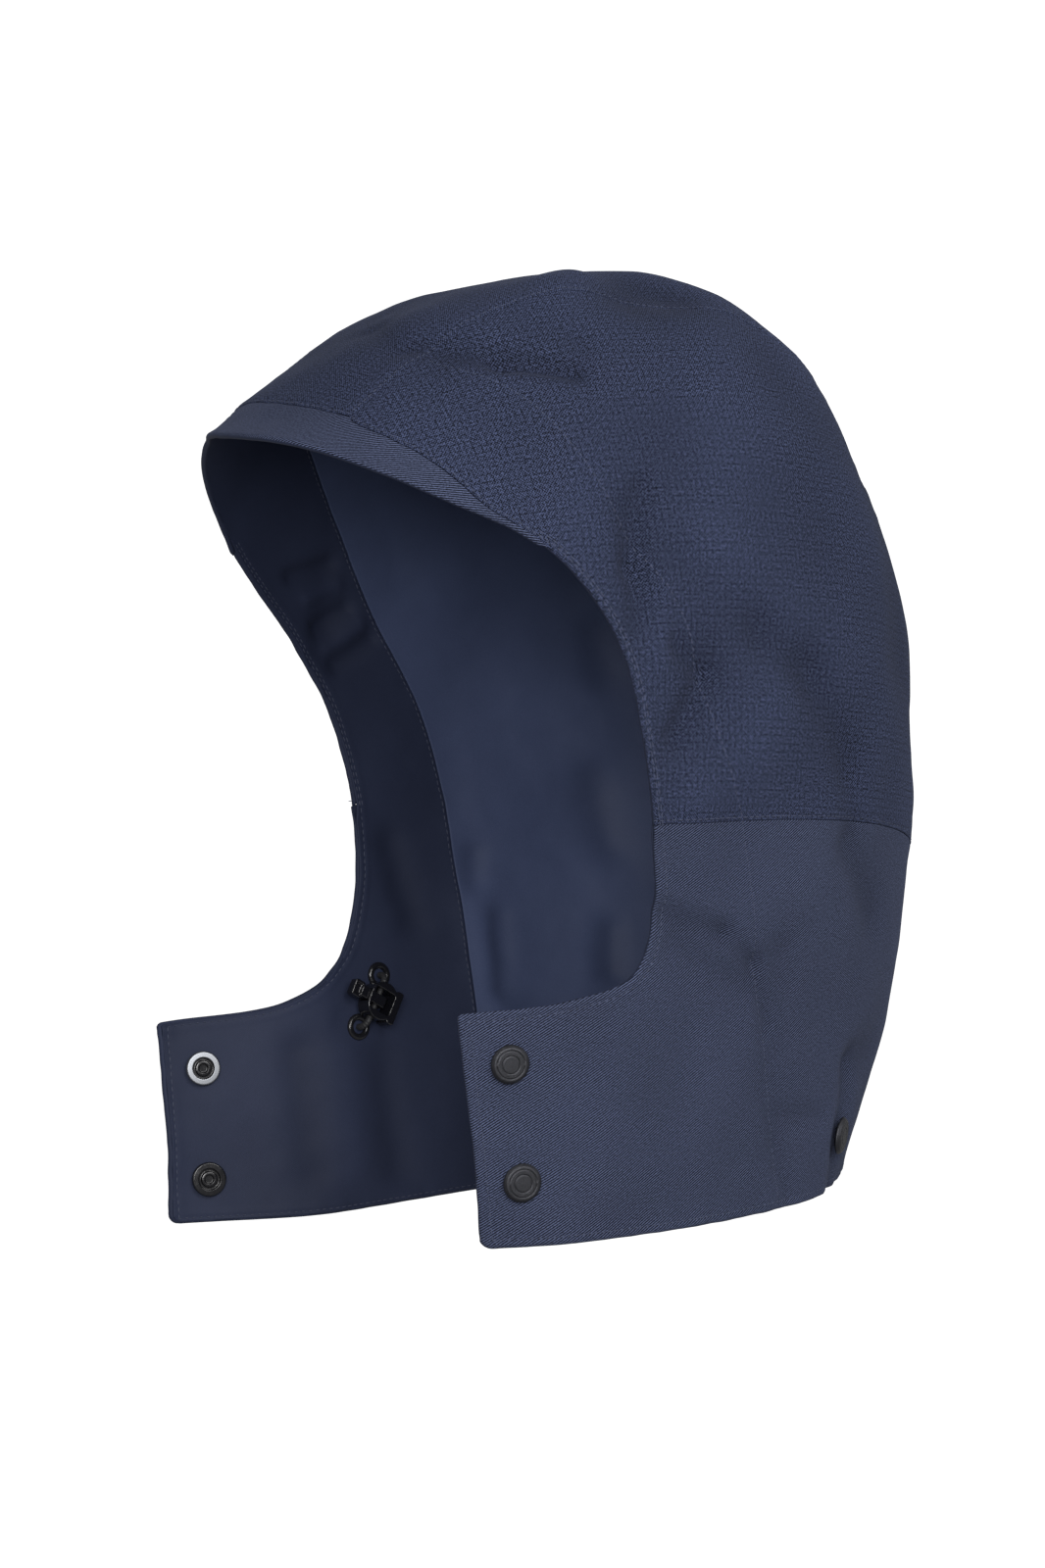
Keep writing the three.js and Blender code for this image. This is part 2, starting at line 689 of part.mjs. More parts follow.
function eyeletGeometry() {
  const outer = eyeletDiameter / 2;
  const inner = eyeletBore / 2;
  const crest = (outer + inner) / 2;
  const rim = eyeletHeight / 2;
  const points = [
    new THREE.Vector2(inner, 0),
    new THREE.Vector2(outer, 0),
    new THREE.Vector2(outer, rim),
    new THREE.Vector2(crest, eyeletHeight),
    new THREE.Vector2(inner, rim),
    new THREE.Vector2(inner, 0),
  ];
  return turned(points, eyeletSides);
}

// Places of the three pairs of press studs of one side.
function snapPlaces(side, sign) {
  const top = openingPlace(side, "edge", flapCorner);
  const foot = opening[side].edge.foot;
  const inset = snapInset[side];
  const onFlap = (drop) => {
    const share = drop / (top.z - foot.z);
    return sidePoint(sign, THREE.MathUtils.lerp(top.y, foot.y, share) + inset, top.z - drop);
  };
  return [
    { spot: "upper", p: onFlap(snapTopInset) },
    { spot: "lower", p: onFlap(snapTopInset + snapSpacing) },
    { spot: "nape", p: sidePoint(sign, napeSnapBack, napeSnapHeight) },
  ];
}

function snaps(panels) {
  const meshes = [];
  for (const { side, sign } of sides) {
    for (const { spot, p } of snapPlaces(side, sign)) {
      const capAxes = clothAxes(p, 0, true);
      const capShape = turnedRows(capRows, capDiameter, capHeight, capSides);
      const cap = named(`snap_cap_${spot}_${side}`, capShape, blackMetal);
      meshes.push(seat(cap, capAxes, standOff(capAxes, capDiameter / 2, panels.neck_panel)));
      const inside = spot === "nape" ? panels[`lining_${side}`] : panels.front_facing;
      const socketAxes = clothAxes(p, insideDepth, false);
      const finish = spot === "upper" ? nickel : blackMetal;
      const socketShape = turnedRows(socketRows, socketDiameter, socketHeight, socketSides);
      const socket = named(`snap_socket_${spot}_${side}`, socketShape, finish);
      meshes.push(seat(socket, socketAxes, standOff(socketAxes, socketDiameter / 2, inside)));
    }
  }
  return meshes;
}

// Solids for cutting and joining
const wasm = await Module();
wasm.setup();

function solid(geometry) {
  const bare = geometry.clone();
  bare.deleteAttribute("normal");
  bare.deleteAttribute("uv");
  const merged = mergeVertices(bare);
  const triVerts = new Uint32Array(merged.index.array);
  const vertProperties = merged.attributes.position.array;
  return new wasm.Manifold(new wasm.Mesh({ numProp: 3, vertProperties, triVerts }));
}

function geometryOf(body) {
  const mesh = body.getMesh();
  const geometry = new THREE.BufferGeometry();
  geometry.setAttribute("position", new THREE.BufferAttribute(mesh.vertProperties, 3));
  geometry.setIndex(new THREE.BufferAttribute(mesh.triVerts, 1));
  geometry.computeVertexNormals();
  return geometry;
}

function block(x0, x1, breadth, thickness) {
  return new THREE.BoxGeometry(x1 - x0, breadth, thickness).translate((x0 + x1) / 2, 0, 0);
}

// A slab with rounded corners in the x-y plane, centred on z = 0.
function roundedSlab(x0, x1, breadth, radius, thickness) {
  const half = breadth / 2;
  const shape = new THREE.Shape();
  shape.absarc(x1 - radius, half - radius, radius, 0, Math.PI / 2);
  shape.absarc(x0 + radius, half - radius, radius, Math.PI / 2, Math.PI);
  shape.absarc(x0 + radius, radius - half, radius, Math.PI, 1.5 * Math.PI);
  shape.absarc(x1 - radius, radius - half, radius, 1.5 * Math.PI, 2 * Math.PI);
  const options = { depth: thickness, bevelEnabled: false, curveSegments: 4 };
  return new THREE.ExtrudeGeometry(shape, options).translate(0, 0, -thickness / 2);
}

// The cord lock along x, with the cord's axis along y through its origin and the plunger towards +x.
const cordRoom = cordDiameter / 2 + runningClearance;
const stemEnd = -(cordRoom + plungerWall);
const windowStart = stemEnd - plungerTravel - runningClearance;
const bodyStart = windowStart - lockWall;
const windowEnd = cordRoom + plungerTravel;
const bodyEnd = windowEnd + lockWall;
const paddleStart = bodyEnd + plungerTravel + runningClearance;

function lockBodyGeometry() {
  const frame = solid(roundedSlab(bodyStart, bodyEnd, lockBreadth, lockRounding, lockThickness));
  const plate = roundedSlab(bodyStart - flangeThickness, bodyStart + lockWall, flangeBreadth, smallRounding,
    lockThickness);
  const windowBreadth = lockBreadth - 4 * lockWall;
  const window = solid(roundedSlab(windowStart, windowEnd, windowBreadth, smallRounding, 2 * lockThickness));
  const slotBreadth = plungerBreadth + 2 * runningClearance;
  const slot = solid(block(0, 2 * bodyEnd, slotBreadth, plungerThickness + 2 * runningClearance));
  const bore = new THREE.CylinderGeometry(cordRoom, cordRoom, 2 * lockBreadth, 12);
  return geometryOf(frame.add(solid(plate)).subtract(window).subtract(slot).subtract(solid(bore)));
}

function plungerGeometry() {
  const stem = solid(block(stemEnd, paddleStart + plungerWall, plungerBreadth, plungerThickness));
  const paddleEnd = paddleStart + paddleLength;
  const paddle = solid(roundedSlab(paddleStart, paddleEnd, paddleBreadth, smallRounding, paddleThickness));
  const cordSlot = solid(block(-cordRoom, cordRoom + plungerTravel, 2 * plungerBreadth, 2 * cordRoom));
  const recess = block(paddleStart + plungerWall, paddleEnd - plungerWall, paddleBreadth - 2 * plungerWall,
    2 * paddleRecess);
  const upper = solid(recess.translate(0, 0, paddleThickness / 2));
  return geometryOf(stem.add(paddle).subtract(cordSlot).subtract(upper));
}

// The cord's rise from an eyelet to the lock: shares of the way out from the lock and up to its axis.
const cordRows = [
  { out: 1, up: 0 },
  { out: 1, up: 0.3 },
  { out: 0.8, up: 0.7 },
  { out: 0.35, up: 0.96 },
  { out: 0, up: 1 },
];
const cordSteps = 16;

// The cord comes out of one eyelet, runs through the lock and goes into the other: along y, above the cloth.
function drawCordGeometry(axisHeight) {
  const reach = eyeletSpacing / 2;
  const entry = lockBreadth / 2;
  const half = cordRows.map((row) => {
    const y = THREE.MathUtils.lerp(entry, reach, row.out);
    return new THREE.Vector3(0, -y, THREE.MathUtils.lerp(gap, axisHeight, row.up));
  });
  const middle = [new THREE.Vector3(0, -entry / 2, axisHeight), new THREE.Vector3(0, 0, axisHeight)];
  const there = [...half, ...middle];
  const back = there.slice(0, -1).reverse().map((point) => new THREE.Vector3(0, -point.y, point.z));
  const points = [...there, ...back];
  const section = new THREE.Shape();
  section.absarc(0, 0, cordDiameter / 2, 0, 2 * Math.PI);
  const extrudePath = new THREE.CatmullRomCurve3(points);
  return new THREE.ExtrudeGeometry(section, { steps: cordSteps, curveSegments: 4, extrudePath });
}

function cordLocks(panels) {
  const meshes = [];
  for (const { side, sign } of sides) {
    const axes = clothAxes(sidePoint(sign, lockBack, lockHeight), insideDepth, false);
    const lean = new THREE.Quaternion().setFromAxisAngle(axes.z, THREE.MathUtils.degToRad(sign * lockLean));
    axes.y.applyQuaternion(lean).multiplyScalar(sign);
    axes.x.crossVectors(axes.y, axes.z);
    const ground = standOff(axes, eyeletSpacing / 2 + eyeletDiameter / 2, panels.front_facing);
    const axisHeight = eyeletHeight + gap + lockThickness / 2;
    for (const [spot, way] of [["upper", sign], ["lower", -sign]]) {
      const eyelet = named(`cord_eyelet_${spot}_${side}`, eyeletGeometry(), gloss);
      const offset = axes.y.clone().multiplyScalar((way * eyeletSpacing) / 2);
      meshes.push(seat(eyelet, axes, ground));
      eyelet.position.add(offset);
    }
    const body = named(`cord_lock_body_${side}`, lockBodyGeometry(), darkPlastic);
    const plunger = named(`cord_lock_plunger_${side}`, plungerGeometry(), darkPlastic);
    meshes.push(seat(body, axes, ground + axisHeight));
    meshes.push(seat(plunger, axes, ground + axisHeight));
    const cord = named(`draw_cord_${side}`, drawCordGeometry(axisHeight), cordBlack);
    meshes.push(seat(cord, axes, ground));
  }
  return meshes;
}

const cloths = [...outerPanels(), ...innerPanels()];
const byName = Object.fromEntries(cloths.map((mesh) => [mesh.name, mesh]));
const headRest = skin(crownPoint(0, headRestTurn), insideDepth);
const hood = new THREE.Group();
hood.add(...cloths, ...snaps(byName), ...cordLocks(byName));
hood.position.set(0, -headRest.y, -headRest.z);

export default hood;
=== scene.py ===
# %% [markdown]
# # A detachable work hood
#
# The real hood is sewn from ripstop canvas over the head and plain twill round the neck, with a facing and
# a lining inside, six press studs on the neck and a cord lock at each cheek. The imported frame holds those
# pieces as plain solids. This lesson dresses them: finer cloth with turned edges, stitches, turned metal
# and moulded plastic, each finish made of nodes.

import math

import bpy
import numpy as np
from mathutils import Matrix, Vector
from mathutils.kdtree import KDTree


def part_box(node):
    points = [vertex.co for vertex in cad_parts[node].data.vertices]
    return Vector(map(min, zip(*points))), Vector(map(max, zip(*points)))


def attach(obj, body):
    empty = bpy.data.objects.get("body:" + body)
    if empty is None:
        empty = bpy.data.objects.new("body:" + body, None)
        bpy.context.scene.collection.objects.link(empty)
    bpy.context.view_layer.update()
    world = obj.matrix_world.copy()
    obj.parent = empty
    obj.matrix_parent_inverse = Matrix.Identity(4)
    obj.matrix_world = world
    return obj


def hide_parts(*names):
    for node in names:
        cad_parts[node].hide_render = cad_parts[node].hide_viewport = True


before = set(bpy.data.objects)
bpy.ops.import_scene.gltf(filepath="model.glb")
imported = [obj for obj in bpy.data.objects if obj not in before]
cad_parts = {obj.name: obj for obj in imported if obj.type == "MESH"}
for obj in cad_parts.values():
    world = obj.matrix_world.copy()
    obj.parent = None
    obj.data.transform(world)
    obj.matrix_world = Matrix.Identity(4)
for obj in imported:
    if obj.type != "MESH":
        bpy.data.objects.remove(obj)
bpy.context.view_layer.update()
MM = 0.001
print("The frame holds", len(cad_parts), "nodes")

# %% [markdown]
# ## The form of the hood
#
# A hood in wear is close to half an egg standing on a collar. It could be sculpted or simulated, but it has
# to lie exactly where the solids lie, so its form is a formula: level sections round the head, a side view
# of the crown, and a short table of folds. Everything below is millimetres above the hem.

# %% Sizes of the hood
HOOD_HEIGHT, HEAD_WIDTH = 373.0, 218.0
CENTRE_HEIGHT, CENTRE_BACK = 200.0, -10.0
BACK_REACH, FRONT_REACH = 187.0, 160.0
SQUARENESS = 2.3
OUTER_WALL, INNER_WALL, GAP = 1.4, 1.0, 0.3
OUTER_FINE = 1.0
INNER_DEPTH = OUTER_WALL + GAP
INSIDE_DEPTH = INNER_DEPTH + INNER_WALL
CROWN_WIDTH, PEAK_TURN, PEAK_LEAN, PEAK_POINT, FACING_TURN = 90.0, 138.6, 2.2, 1.8, 118.0
BAND_WIDTH, HEM_COLUMN = 19.7, 6.0
NECK_SEAM_BACK, NECK_SEAM_ARCH = 139.0, 6.0
FLAP_DEPTH, HEM_AT_NAPE = 86.0, 15.0
SWING = {1: 9.0, -1: 34.0}
SWING_START, SWING_RUN = 25.0, 64.0
FOLD_SPREAD, FOLD_RISE = 10.0, 4.0
SLACK_RISE, CRUMPLE_RISE = 0.38, 0.07
FITTING_HOLD, FITTING_FADE = 6, 9
HEAD_REST_TURN = 77.0
JAW, FLAP_CORNER = 5.0, 9.0
HALF_WIDTH = HEAD_WIDTH / 2
CROWN_RISE = HOOD_HEIGHT - CENTRE_HEIGHT
SIDES = {"left": 1, "right": -1}
print("A hood", HOOD_HEIGHT, "mm tall and", HEAD_WIDTH, "mm wide")


# %% Tables of shares
def table(columns, *rows):
    return dict(zip(columns.split(), np.array(rows, float).T))


SECTIONS = table("height width back", (-0.05, 0.826, 0.79), (0.2, 0.862, 0.888), (0.45, 0.908, 0.952),
                 (0.7, 0.963, 0.984), (1, 1, 1))
PROFILE = table("turn swell", (0, 1), (30, 1.04), (60, 1.075), (90, 1), (115, 0.965), (135, 0.98),
                (146, 1.065), (160, 1.1), (180, 1))
CROWN = table("turn width", (-25, 0.86), (20, 0.98), (55, 1.08), (95, 1), (145, 0.96))
BAND = table("station width", (0, 1), (0.34, 0.83), (0.65, 0.69), (1, 0.45), (1.3, 0.2), (1.7, 0.08),
             (2.0, 0))
FLAP_HEM = table("station share", (5, 0.65), (6, 0.75), (7, 0.84), (8, 0.91), (9, 1))
HEM_SHARE_CROWN, HEM_SHARE_SEAM = 0.2, 0.55


def ease(t, start, leave, end, arrive):
    """From start to end as t goes from 0 to 1, with the given slopes at both."""
    near = (2 * t**3 - 3 * t**2 + 1) * start + (t**3 - 2 * t**2 + t) * leave
    return near + (3 * t**2 - 2 * t**3) * end + (t**3 - t**2) * arrive


def read(rows, key, column, at):
    """A smooth curve through the rows of a table, flat at its last row."""
    x, y = rows[key], rows[column]
    slope = np.zeros(len(x))
    slope[1:-1] = (y[2:] - y[:-2]) / (x[2:] - x[:-2])
    slope[0] = (y[1] - y[0]) / (x[1] - x[0])
    at = np.clip(at, x[0], x[-1])
    i = np.clip(np.searchsorted(x, at, side="right") - 1, 0, len(x) - 2)
    span = x[i + 1] - x[i]
    t = (at - x[i]) / span
    return ease(t, y[i], slope[i] * span, y[i + 1], slope[i + 1] * span)


# %% The plain form
def points(x, y, z):
    return np.stack(np.broadcast_arrays(x, y, z), -1).astype(float)


def width_at(z):
    return HALF_WIDTH * read(SECTIONS, "height", "width", z / CENTRE_HEIGHT)


def back_at(z):
    return BACK_REACH * read(SECTIONS, "height", "back", z / CENTRE_HEIGHT)


def outline_at(turn):
    angle = np.radians(turn)
    reach = np.where(np.cos(angle) >= 0, BACK_REACH, FRONT_REACH)
    ellipse = 1 / np.hypot(np.cos(angle) / reach, np.sin(angle) / CROWN_RISE)
    return ellipse * read(PROFILE, "turn", "swell", turn)


def gauge(p):
    """One on the outer cloth's plain form, less inside it."""
    y, z = p[..., 1] - CENTRE_BACK, p[..., 2] - CENTRE_HEIGHT
    level = np.abs(y) / np.where(y >= 0, back_at(p[..., 2]), FRONT_REACH)
    dome = np.hypot(y, z) / outline_at(np.degrees(np.arctan2(z, y)))
    across = np.abs(p[..., 0]) / width_at(p[..., 2])
    side = np.where(z > 0, dome, level)
    return (across**SQUARENESS + side**SQUARENESS) ** (1 / SQUARENESS)


def onto_form(p):
    scale = 1 / gauge(p)
    pivot = np.minimum(p[..., 2], CENTRE_HEIGHT)
    y = CENTRE_BACK + (p[..., 1] - CENTRE_BACK) * scale
    return points(p[..., 0] * scale, y, pivot + (p[..., 2] - pivot) * scale)


def unit(v):
    return v / np.maximum(np.linalg.norm(v, axis=-1, keepdims=True), 1e-9)


def outward(p):
    steps = 0.5 * np.eye(3)
    return unit(np.stack([gauge(p + step) - gauge(p - step) for step in steps], -1))


def side_point(sign, y, z):
    probe = gauge(points(0, y, z))
    x = width_at(z) * np.maximum(1 - probe**SQUARENESS, 0) ** (1 / SQUARENESS)
    return points(sign * x, y, z)


def crown_point(x, turn):
    across = (1 - (np.abs(x) / HALF_WIDTH) ** SQUARENESS) ** (1 / SQUARENESS)
    z = CENTRE_HEIGHT + np.radians(turn) * BACK_REACH
    down = onto_form(points(x, CENTRE_BACK + across * back_at(z), z))
    reach, angle = across * outline_at(turn), np.radians(turn)
    over = points(x, CENTRE_BACK + reach * np.cos(angle), CENTRE_HEIGHT + reach * np.sin(angle))
    return np.where((np.asarray(turn) < 0)[..., None], down, over)


def crown_half(turn):
    return 0.5 * CROWN_WIDTH * read(CROWN, "turn", "width", turn)


NECK_TURN = -math.degrees((CENTRE_HEIGHT - NECK_SEAM_BACK) / BACK_REACH)


def crown_turn(station):
    return FACING_TURN + (NECK_TURN - FACING_TURN) * np.asarray(station) / JAW


# %% [markdown]
# ## Folds
#
# Worn cloth has a few deep folds, which the solids also have, and many shallow ones. Each fold is a line on
# the cloth with a spread and a rise. A sculpt would give the same look, but rows in a table can be moved
# one by one until the light falls as it does on the real hood.

# %% Folds and the lean of the flaps
FOLDS = table(
    "x0 y0 z0 x1 y1 z1 width rise",
    (0.45, -0.41, 0.9, 0.6, -0.14, 0.915, 0.9, -1),
    (0.4, -0.3, 0.94, 0.42, -0.1, 0.96, 1.3, 0.875),
    (0.34, -0.03, 0.985, 0.3, 0.01, 0.99, 1.6, 1.125),
    (0.45, 0.1, 0.97, 0.4, 0.2, 0.98, 1.8, -0.875),
    (0.92, -0.16, 0.75, 0.97, -0.12, 0.65, 0.8, -0.55),
    (0.99, 0.04, 0.6, 1, -0.04, 0.5, 1.5, -0.75),
    (0.94, -0.03, 0.31, 0.9, 0.17, 0.26, 0.7, -0.4),
    (0.7, 0.57, 0.16, 0.66, 0.57, 0.02, 0.7, -0.75),
    (0.55, 0.66, 0.17, 0.7, 0.6, 0.165, 0.9, -0.625),
    (-0.92, -0.12, 0.68, -0.95, -0.11, 0.6, 0.9, 0.55),
    (-0.86, 0.27, 0.33, -0.82, 0.3, 0.18, 1, -0.6),
    (-0.3, 0.88, 0.36, 0.25, 0.86, 0.3, 1.2, -0.65),
    (-0.42, -0.1, 0.96, -0.5, 0.15, 0.95, 1.6, -0.625),
)
DRAPE = table(
    "x0 y0 z0 x1 y1 z1 width rise",
    (-0.22, -0.46, 0.91, 0.03, -0.12, 0.995, 2.4, -0.75),
    (0.17, 0.3, 1, 0.4, 0.53, 0.92, 2.4, 0.8),
    (0.5, 0.72, 0.78, 0.67, 0.74, 0.6, 2.2, -0.75),
    (0.51, 0.83, 0.42, 0.43, 0.81, 0.2, 2.2, 0.6),
    (0.5, 0.66, 0.04, 0.56, 0.62, 0.03, 1.5, -0.5),
    (0.34, -0.43, 0.915, 0.575, -0.315, 0.9, 0.6, -0.5),
    (0.575, -0.315, 0.9, 0.68, -0.18, 0.891, 0.55, -1.3),
    (0.5, -0.3, 0.925, 0.6, -0.2, 0.92, 0.8, 0.3),
    (0.45, -0.41, 0.9, 0.6, -0.14, 0.915, 0.9, 0.6),
    (0.4, -0.3, 0.94, 0.42, -0.1, 0.96, 1.3, -0.7),
    (0.05, -0.42, 0.94, 0.3, -0.46, 0.915, 0.8, -0.5),
    (0.43, -0.03, 0.97, 0.32, 0.27, 0.985, 1.3, -0.6),
    (0.9, -0.1, 0.77, 0.96, -0.15, 0.69, 0.6, -0.8),
    (0.96, -0.15, 0.69, 0.98, -0.16, 0.63, 0.5, -0.4),
    (0.975, -0.09, 0.66, 0.99, -0.09, 0.6, 0.5, 0.45),
    (0.957, -0.05, 0.705, 0.975, 0.18, 0.625, 1, -0.5),
    (0.975, 0.18, 0.625, 0.95, 0.33, 0.58, 1.1, -0.6),
    (0.95, 0.33, 0.58, 0.89, 0.47, 0.485, 1.2, -0.6),
    (0.89, 0.47, 0.485, 0.854, 0.49, 0.4, 1, -0.4),
    (0.993, -0.06, 0.61, 0.997, 0.03, 0.58, 0.55, -0.5),
    (0.997, 0.03, 0.58, 1, -0.055, 0.52, 0.6, -0.7),
    (0.993, -0.03, 0.485, 0.99, 0, 0.46, 1.2, 0.6),
    (0.98, 0.21, 0.545, 0.985, 0.15, 0.5, 1.3, 0.5),
    (0.93, -0.07, 0.34, 0.925, 0.1, 0.315, 0.5, -0.55),
    (0.925, 0.1, 0.315, 0.91, 0.2, 0.28, 0.45, -0.45),
    (0.91, 0.2, 0.28, 0.87, 0.25, 0.215, 0.45, -0.4),
    (0.854, 0.49, 0.4, 0.745, 0.615, 0.32, 1, -0.7),
    (0.89, 0.28, 0.29, 0.845, 0.265, 0.16, 1, -0.4),
    (0.82, 0.285, 0.116, 0.75, 0.46, 0.11, 0.5, -0.3),
    (0.8, 0.3, 0.09, 0.77, 0.36, 0.03, 0.5, -0.35),
    (-0.95, -0.22, 0.685, -0.953, -0.115, 0.7, 0.4, 0.5),
    (-0.97, -0.17, 0.66, -0.97, -0.09, 0.675, 0.35, -0.35),
    (-0.986, -0.135, 0.627, -0.983, -0.06, 0.65, 0.4, 0.55),
    (-0.99, -0.1, 0.605, -0.99, -0.02, 0.63, 0.35, -0.35),
    (-0.997, -0.08, 0.585, -0.993, 0.01, 0.615, 0.4, 0.5),
    (-0.965, 0.055, 0.385, -0.94, 0.1, 0.3, 0.8, 0.6),
    (-0.85, -0.22, 0.16, -0.83, -0.2, 0.03, 0.9, 0.6),
    (-0.85, -0.11, 0.15, -0.83, -0.1, 0.03, 0.9, -0.4),
    (-0.85, 0, 0.15, -0.83, 0.02, 0.03, 0.9, 0.6),
    (-0.927, 0.275, 0.37, -0.918, 0.267, 0.34, 0.6, 0.5),
    (-0.883, 0.325, 0.296, -0.852, 0.32, 0.22, 0.6, 0.6),
    (-0.743, 0.588, 0.277, -0.728, 0.58, 0.235, 0.7, 0.6),
    (-0.82, 0.574, 0.45, -0.777, 0.6, 0.377, 0.9, 0.5),
    (-0.817, 0.585, 0.62, -0.8, 0.6, 0.58, 0.9, 0.5),
)
PLACE = np.array([HALF_WIDTH, BACK_REACH, HOOD_HEIGHT])


def fold_rise(p, folds):
    rise = np.zeros(p.shape[:-1])
    for row in zip(*folds.values()):
        start, end = np.array(row[0:3]) * PLACE, np.array(row[3:6]) * PLACE
        along = end - start
        t = np.clip(((p - start) @ along) / (along @ along), 0, 1)
        spread = np.linalg.norm(p - start - t[..., None] * along, axis=-1) / (FOLD_SPREAD * row[6])
        rise += FOLD_RISE * row[7] * np.exp(-(spread**2))
    return rise


def folded(p):
    return fold_rise(p, FOLDS) + fold_rise(p, DRAPE)


def smooth(t):
    t = np.clip(t, 0, 1)
    return t * t * (3 - 2 * t)


def swing(p):
    """Both flaps lean to the wearer's right, the right one wide open."""
    run = np.clip((-SWING_START - p[..., 1]) / SWING_RUN, 0, 1.5)
    low = 1 - smooth((p[..., 2] / HOOD_HEIGHT - 0.3) / 0.2)
    lean = np.where(p[..., 0] > 0, SWING[1], SWING[-1])
    return -lean * run * run * (2 - run) * low


def waves(seed, count, shortest, longest):
    """Random shallow waves through space, so that neighbouring panels stay joined."""
    rng = np.random.default_rng(seed)
    direction = unit(rng.normal(size=(count, 3)))
    length = rng.uniform(shortest, longest, count)
    phase = rng.uniform(0, 2 * np.pi, count)
    weight = length / length.mean() / math.sqrt(count / 2)
    return lambda p: (np.sin(2 * np.pi * (p @ direction.T) / length + phase) * weight).sum(-1)


slack = waves(11, 26, 26, 80)
crumple = waves(12, 30, 9, 22)
lining_slack = waves(13, 24, 30, 90)
print(len(FOLDS["rise"]), "deep folds and", len(DRAPE["rise"]), "shallow ones")


HEAD_REST = crown_point(0.0, HEAD_REST_TURN)
HEAD_REST = HEAD_REST + outward(HEAD_REST) * (fold_rise(HEAD_REST, FOLDS) - INSIDE_DEPTH)
ORIGIN = np.array([0, HEAD_REST[1], HEAD_REST[2]])
FITTINGS = [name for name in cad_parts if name.startswith(("snap_", "cord_lock_body", "cord_eyelet"))]
SPOTS = np.array([(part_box(name)[0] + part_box(name)[1]) / 2 for name in FITTINGS]) / MM + ORIGIN


def skin(p, depth, relief=0.0):
    """The place of the cloth over a point of the plain form, at a depth under its outer face."""
    normal = outward(p)
    lifted = p + normal * (folded(p) - depth)[..., None]
    lifted[..., 0] += swing(p)
    away = np.min([np.linalg.norm(lifted - spot, axis=-1) for spot in SPOTS], axis=0)
    loose = smooth((away - FITTING_HOLD) / FITTING_FADE)
    ripple = (SLACK_RISE * slack(p) + CRUMPLE_RISE * crumple(p)) * loose
    return lifted + normal * (relief * loose + ripple)[..., None]


def metres(p):
    return (p - ORIGIN) * MM


hem_error = metres(points(0, 0, 0))[2]
print("The hem's level lies at", round(float(hem_error), 5), "m, under the frame's origin")

# %% [markdown]
# ## The camera
#
# It comes early, because every later choice is judged through it. The hood turns its left cheek to the
# camera, which stands well back, so that the near and the far flap keep their sizes.

# %% Camera
CAMERA_TURN, CAMERA_BACK, CAMERA_LIFT, CAMERA_AIM = 52.0, 1700.0, 237.0, 172.0
LONG_SIDE_PIXELS, FOCAL_PIXELS, SENSOR = 1600.0, 4371.0, 36.0
turn = math.radians(CAMERA_TURN)
camera_data = bpy.data.cameras.new("camera")
camera_data.sensor_width = SENSOR
camera_data.lens = FOCAL_PIXELS / LONG_SIDE_PIXELS * SENSOR
camera = bpy.data.objects.new("camera", camera_data)
bpy.context.collection.objects.link(camera)
stand = metres(points(CAMERA_BACK * math.sin(turn), -CAMERA_BACK * math.cos(turn), CAMERA_LIFT))
aim = metres(points(0, 0, CAMERA_AIM))
camera.location = stand
camera.rotation_euler = (Vector(aim) - Vector(stand)).to_track_quat("-Z", "Y").to_euler()
bpy.context.scene.camera = camera
print("Lens", round(camera_data.lens, 2), "mm")

# %% [markdown]
# ## Lines on the hood
#
# The pattern of a hood is a set of lines: the edge round the face, the seams and the rows of stitches
# beside them. They are drawn once, from a few listed places, and every panel, groove and stitch row below
# follows them.

# %% The face opening
OPENING_ROWS = {
    "left": table("edge_y edge_z seam_y seam_z", (-0.617, 0.754, -0.356, 0.855), (-0.4, 0.706, -0.18, 0.73),
                  (-0.24, 0.622, -0.02, 0.624), (-0.17, 0.523, 0.056, 0.527), (-0.125, 0.43, 0.15, 0.43),
                  (-0.1, 0.344, 0.2, 0.341), (-0.15, 0.28, 0.256, 0.274)),
    "right": table("edge_y edge_z seam_y seam_z", (-0.62, 0.772, -0.344, 0.855), (-0.45, 0.703, -0.14, 0.75),
                   (-0.236, 0.612, 0.012, 0.645), (-0.106, 0.529, 0.175, 0.532), (-0.044, 0.43, 0.244, 0.43),
                   (-0.044, 0.34, 0.27, 0.341), (-0.112, 0.263, 0.275, 0.263)),
}
FLAP_ROWS = {
    "left": table("edge_y edge_z seam_y seam_z", (-0.312, 1.105, 0.294, 0.93), (-0.575, 1.06, 0.33, 0.56),
                  (-0.49, 0.025, 0.39, 0.055)),
    "right": table("edge_y edge_z seam_y seam_z", (-0.28, 0.936, 0.28, 0.84), (-0.574, 0.85, 0.33, 0.49),
                   (-0.574, -0.1, 0.375, -0.025)),
}


class Curve:
    """A smooth curve through points, read at 0 for the first point, 1 for the second and so on."""

    def __init__(self, through):
        p = np.array(through, float)
        p = np.vstack([2 * p[0] - p[1], p, 2 * p[-1] - p[-2]])
        span = np.linalg.norm(np.diff(p, axis=0), axis=1)[:, None] ** 0.5
        a, b, c = span[:-2], span[1:-1], span[2:]
        before, self.start, self.end, after = p[:-3], p[1:-2], p[2:-1], p[3:]
        step = (self.end - self.start) / b
        self.leave = b * ((self.start - before) / a - (self.end - before) / (a + b) + step)
        self.arrive = b * (step - (after - self.start) / (b + c) + (after - self.end) / c)

    def __call__(self, at):
        i = np.clip(np.floor(at).astype(int), 0, len(self.start) - 1)
        t = (np.asarray(at) - i)[..., None]
        return ease(t, self.start[i], self.leave[i], self.end[i], self.arrive[i])


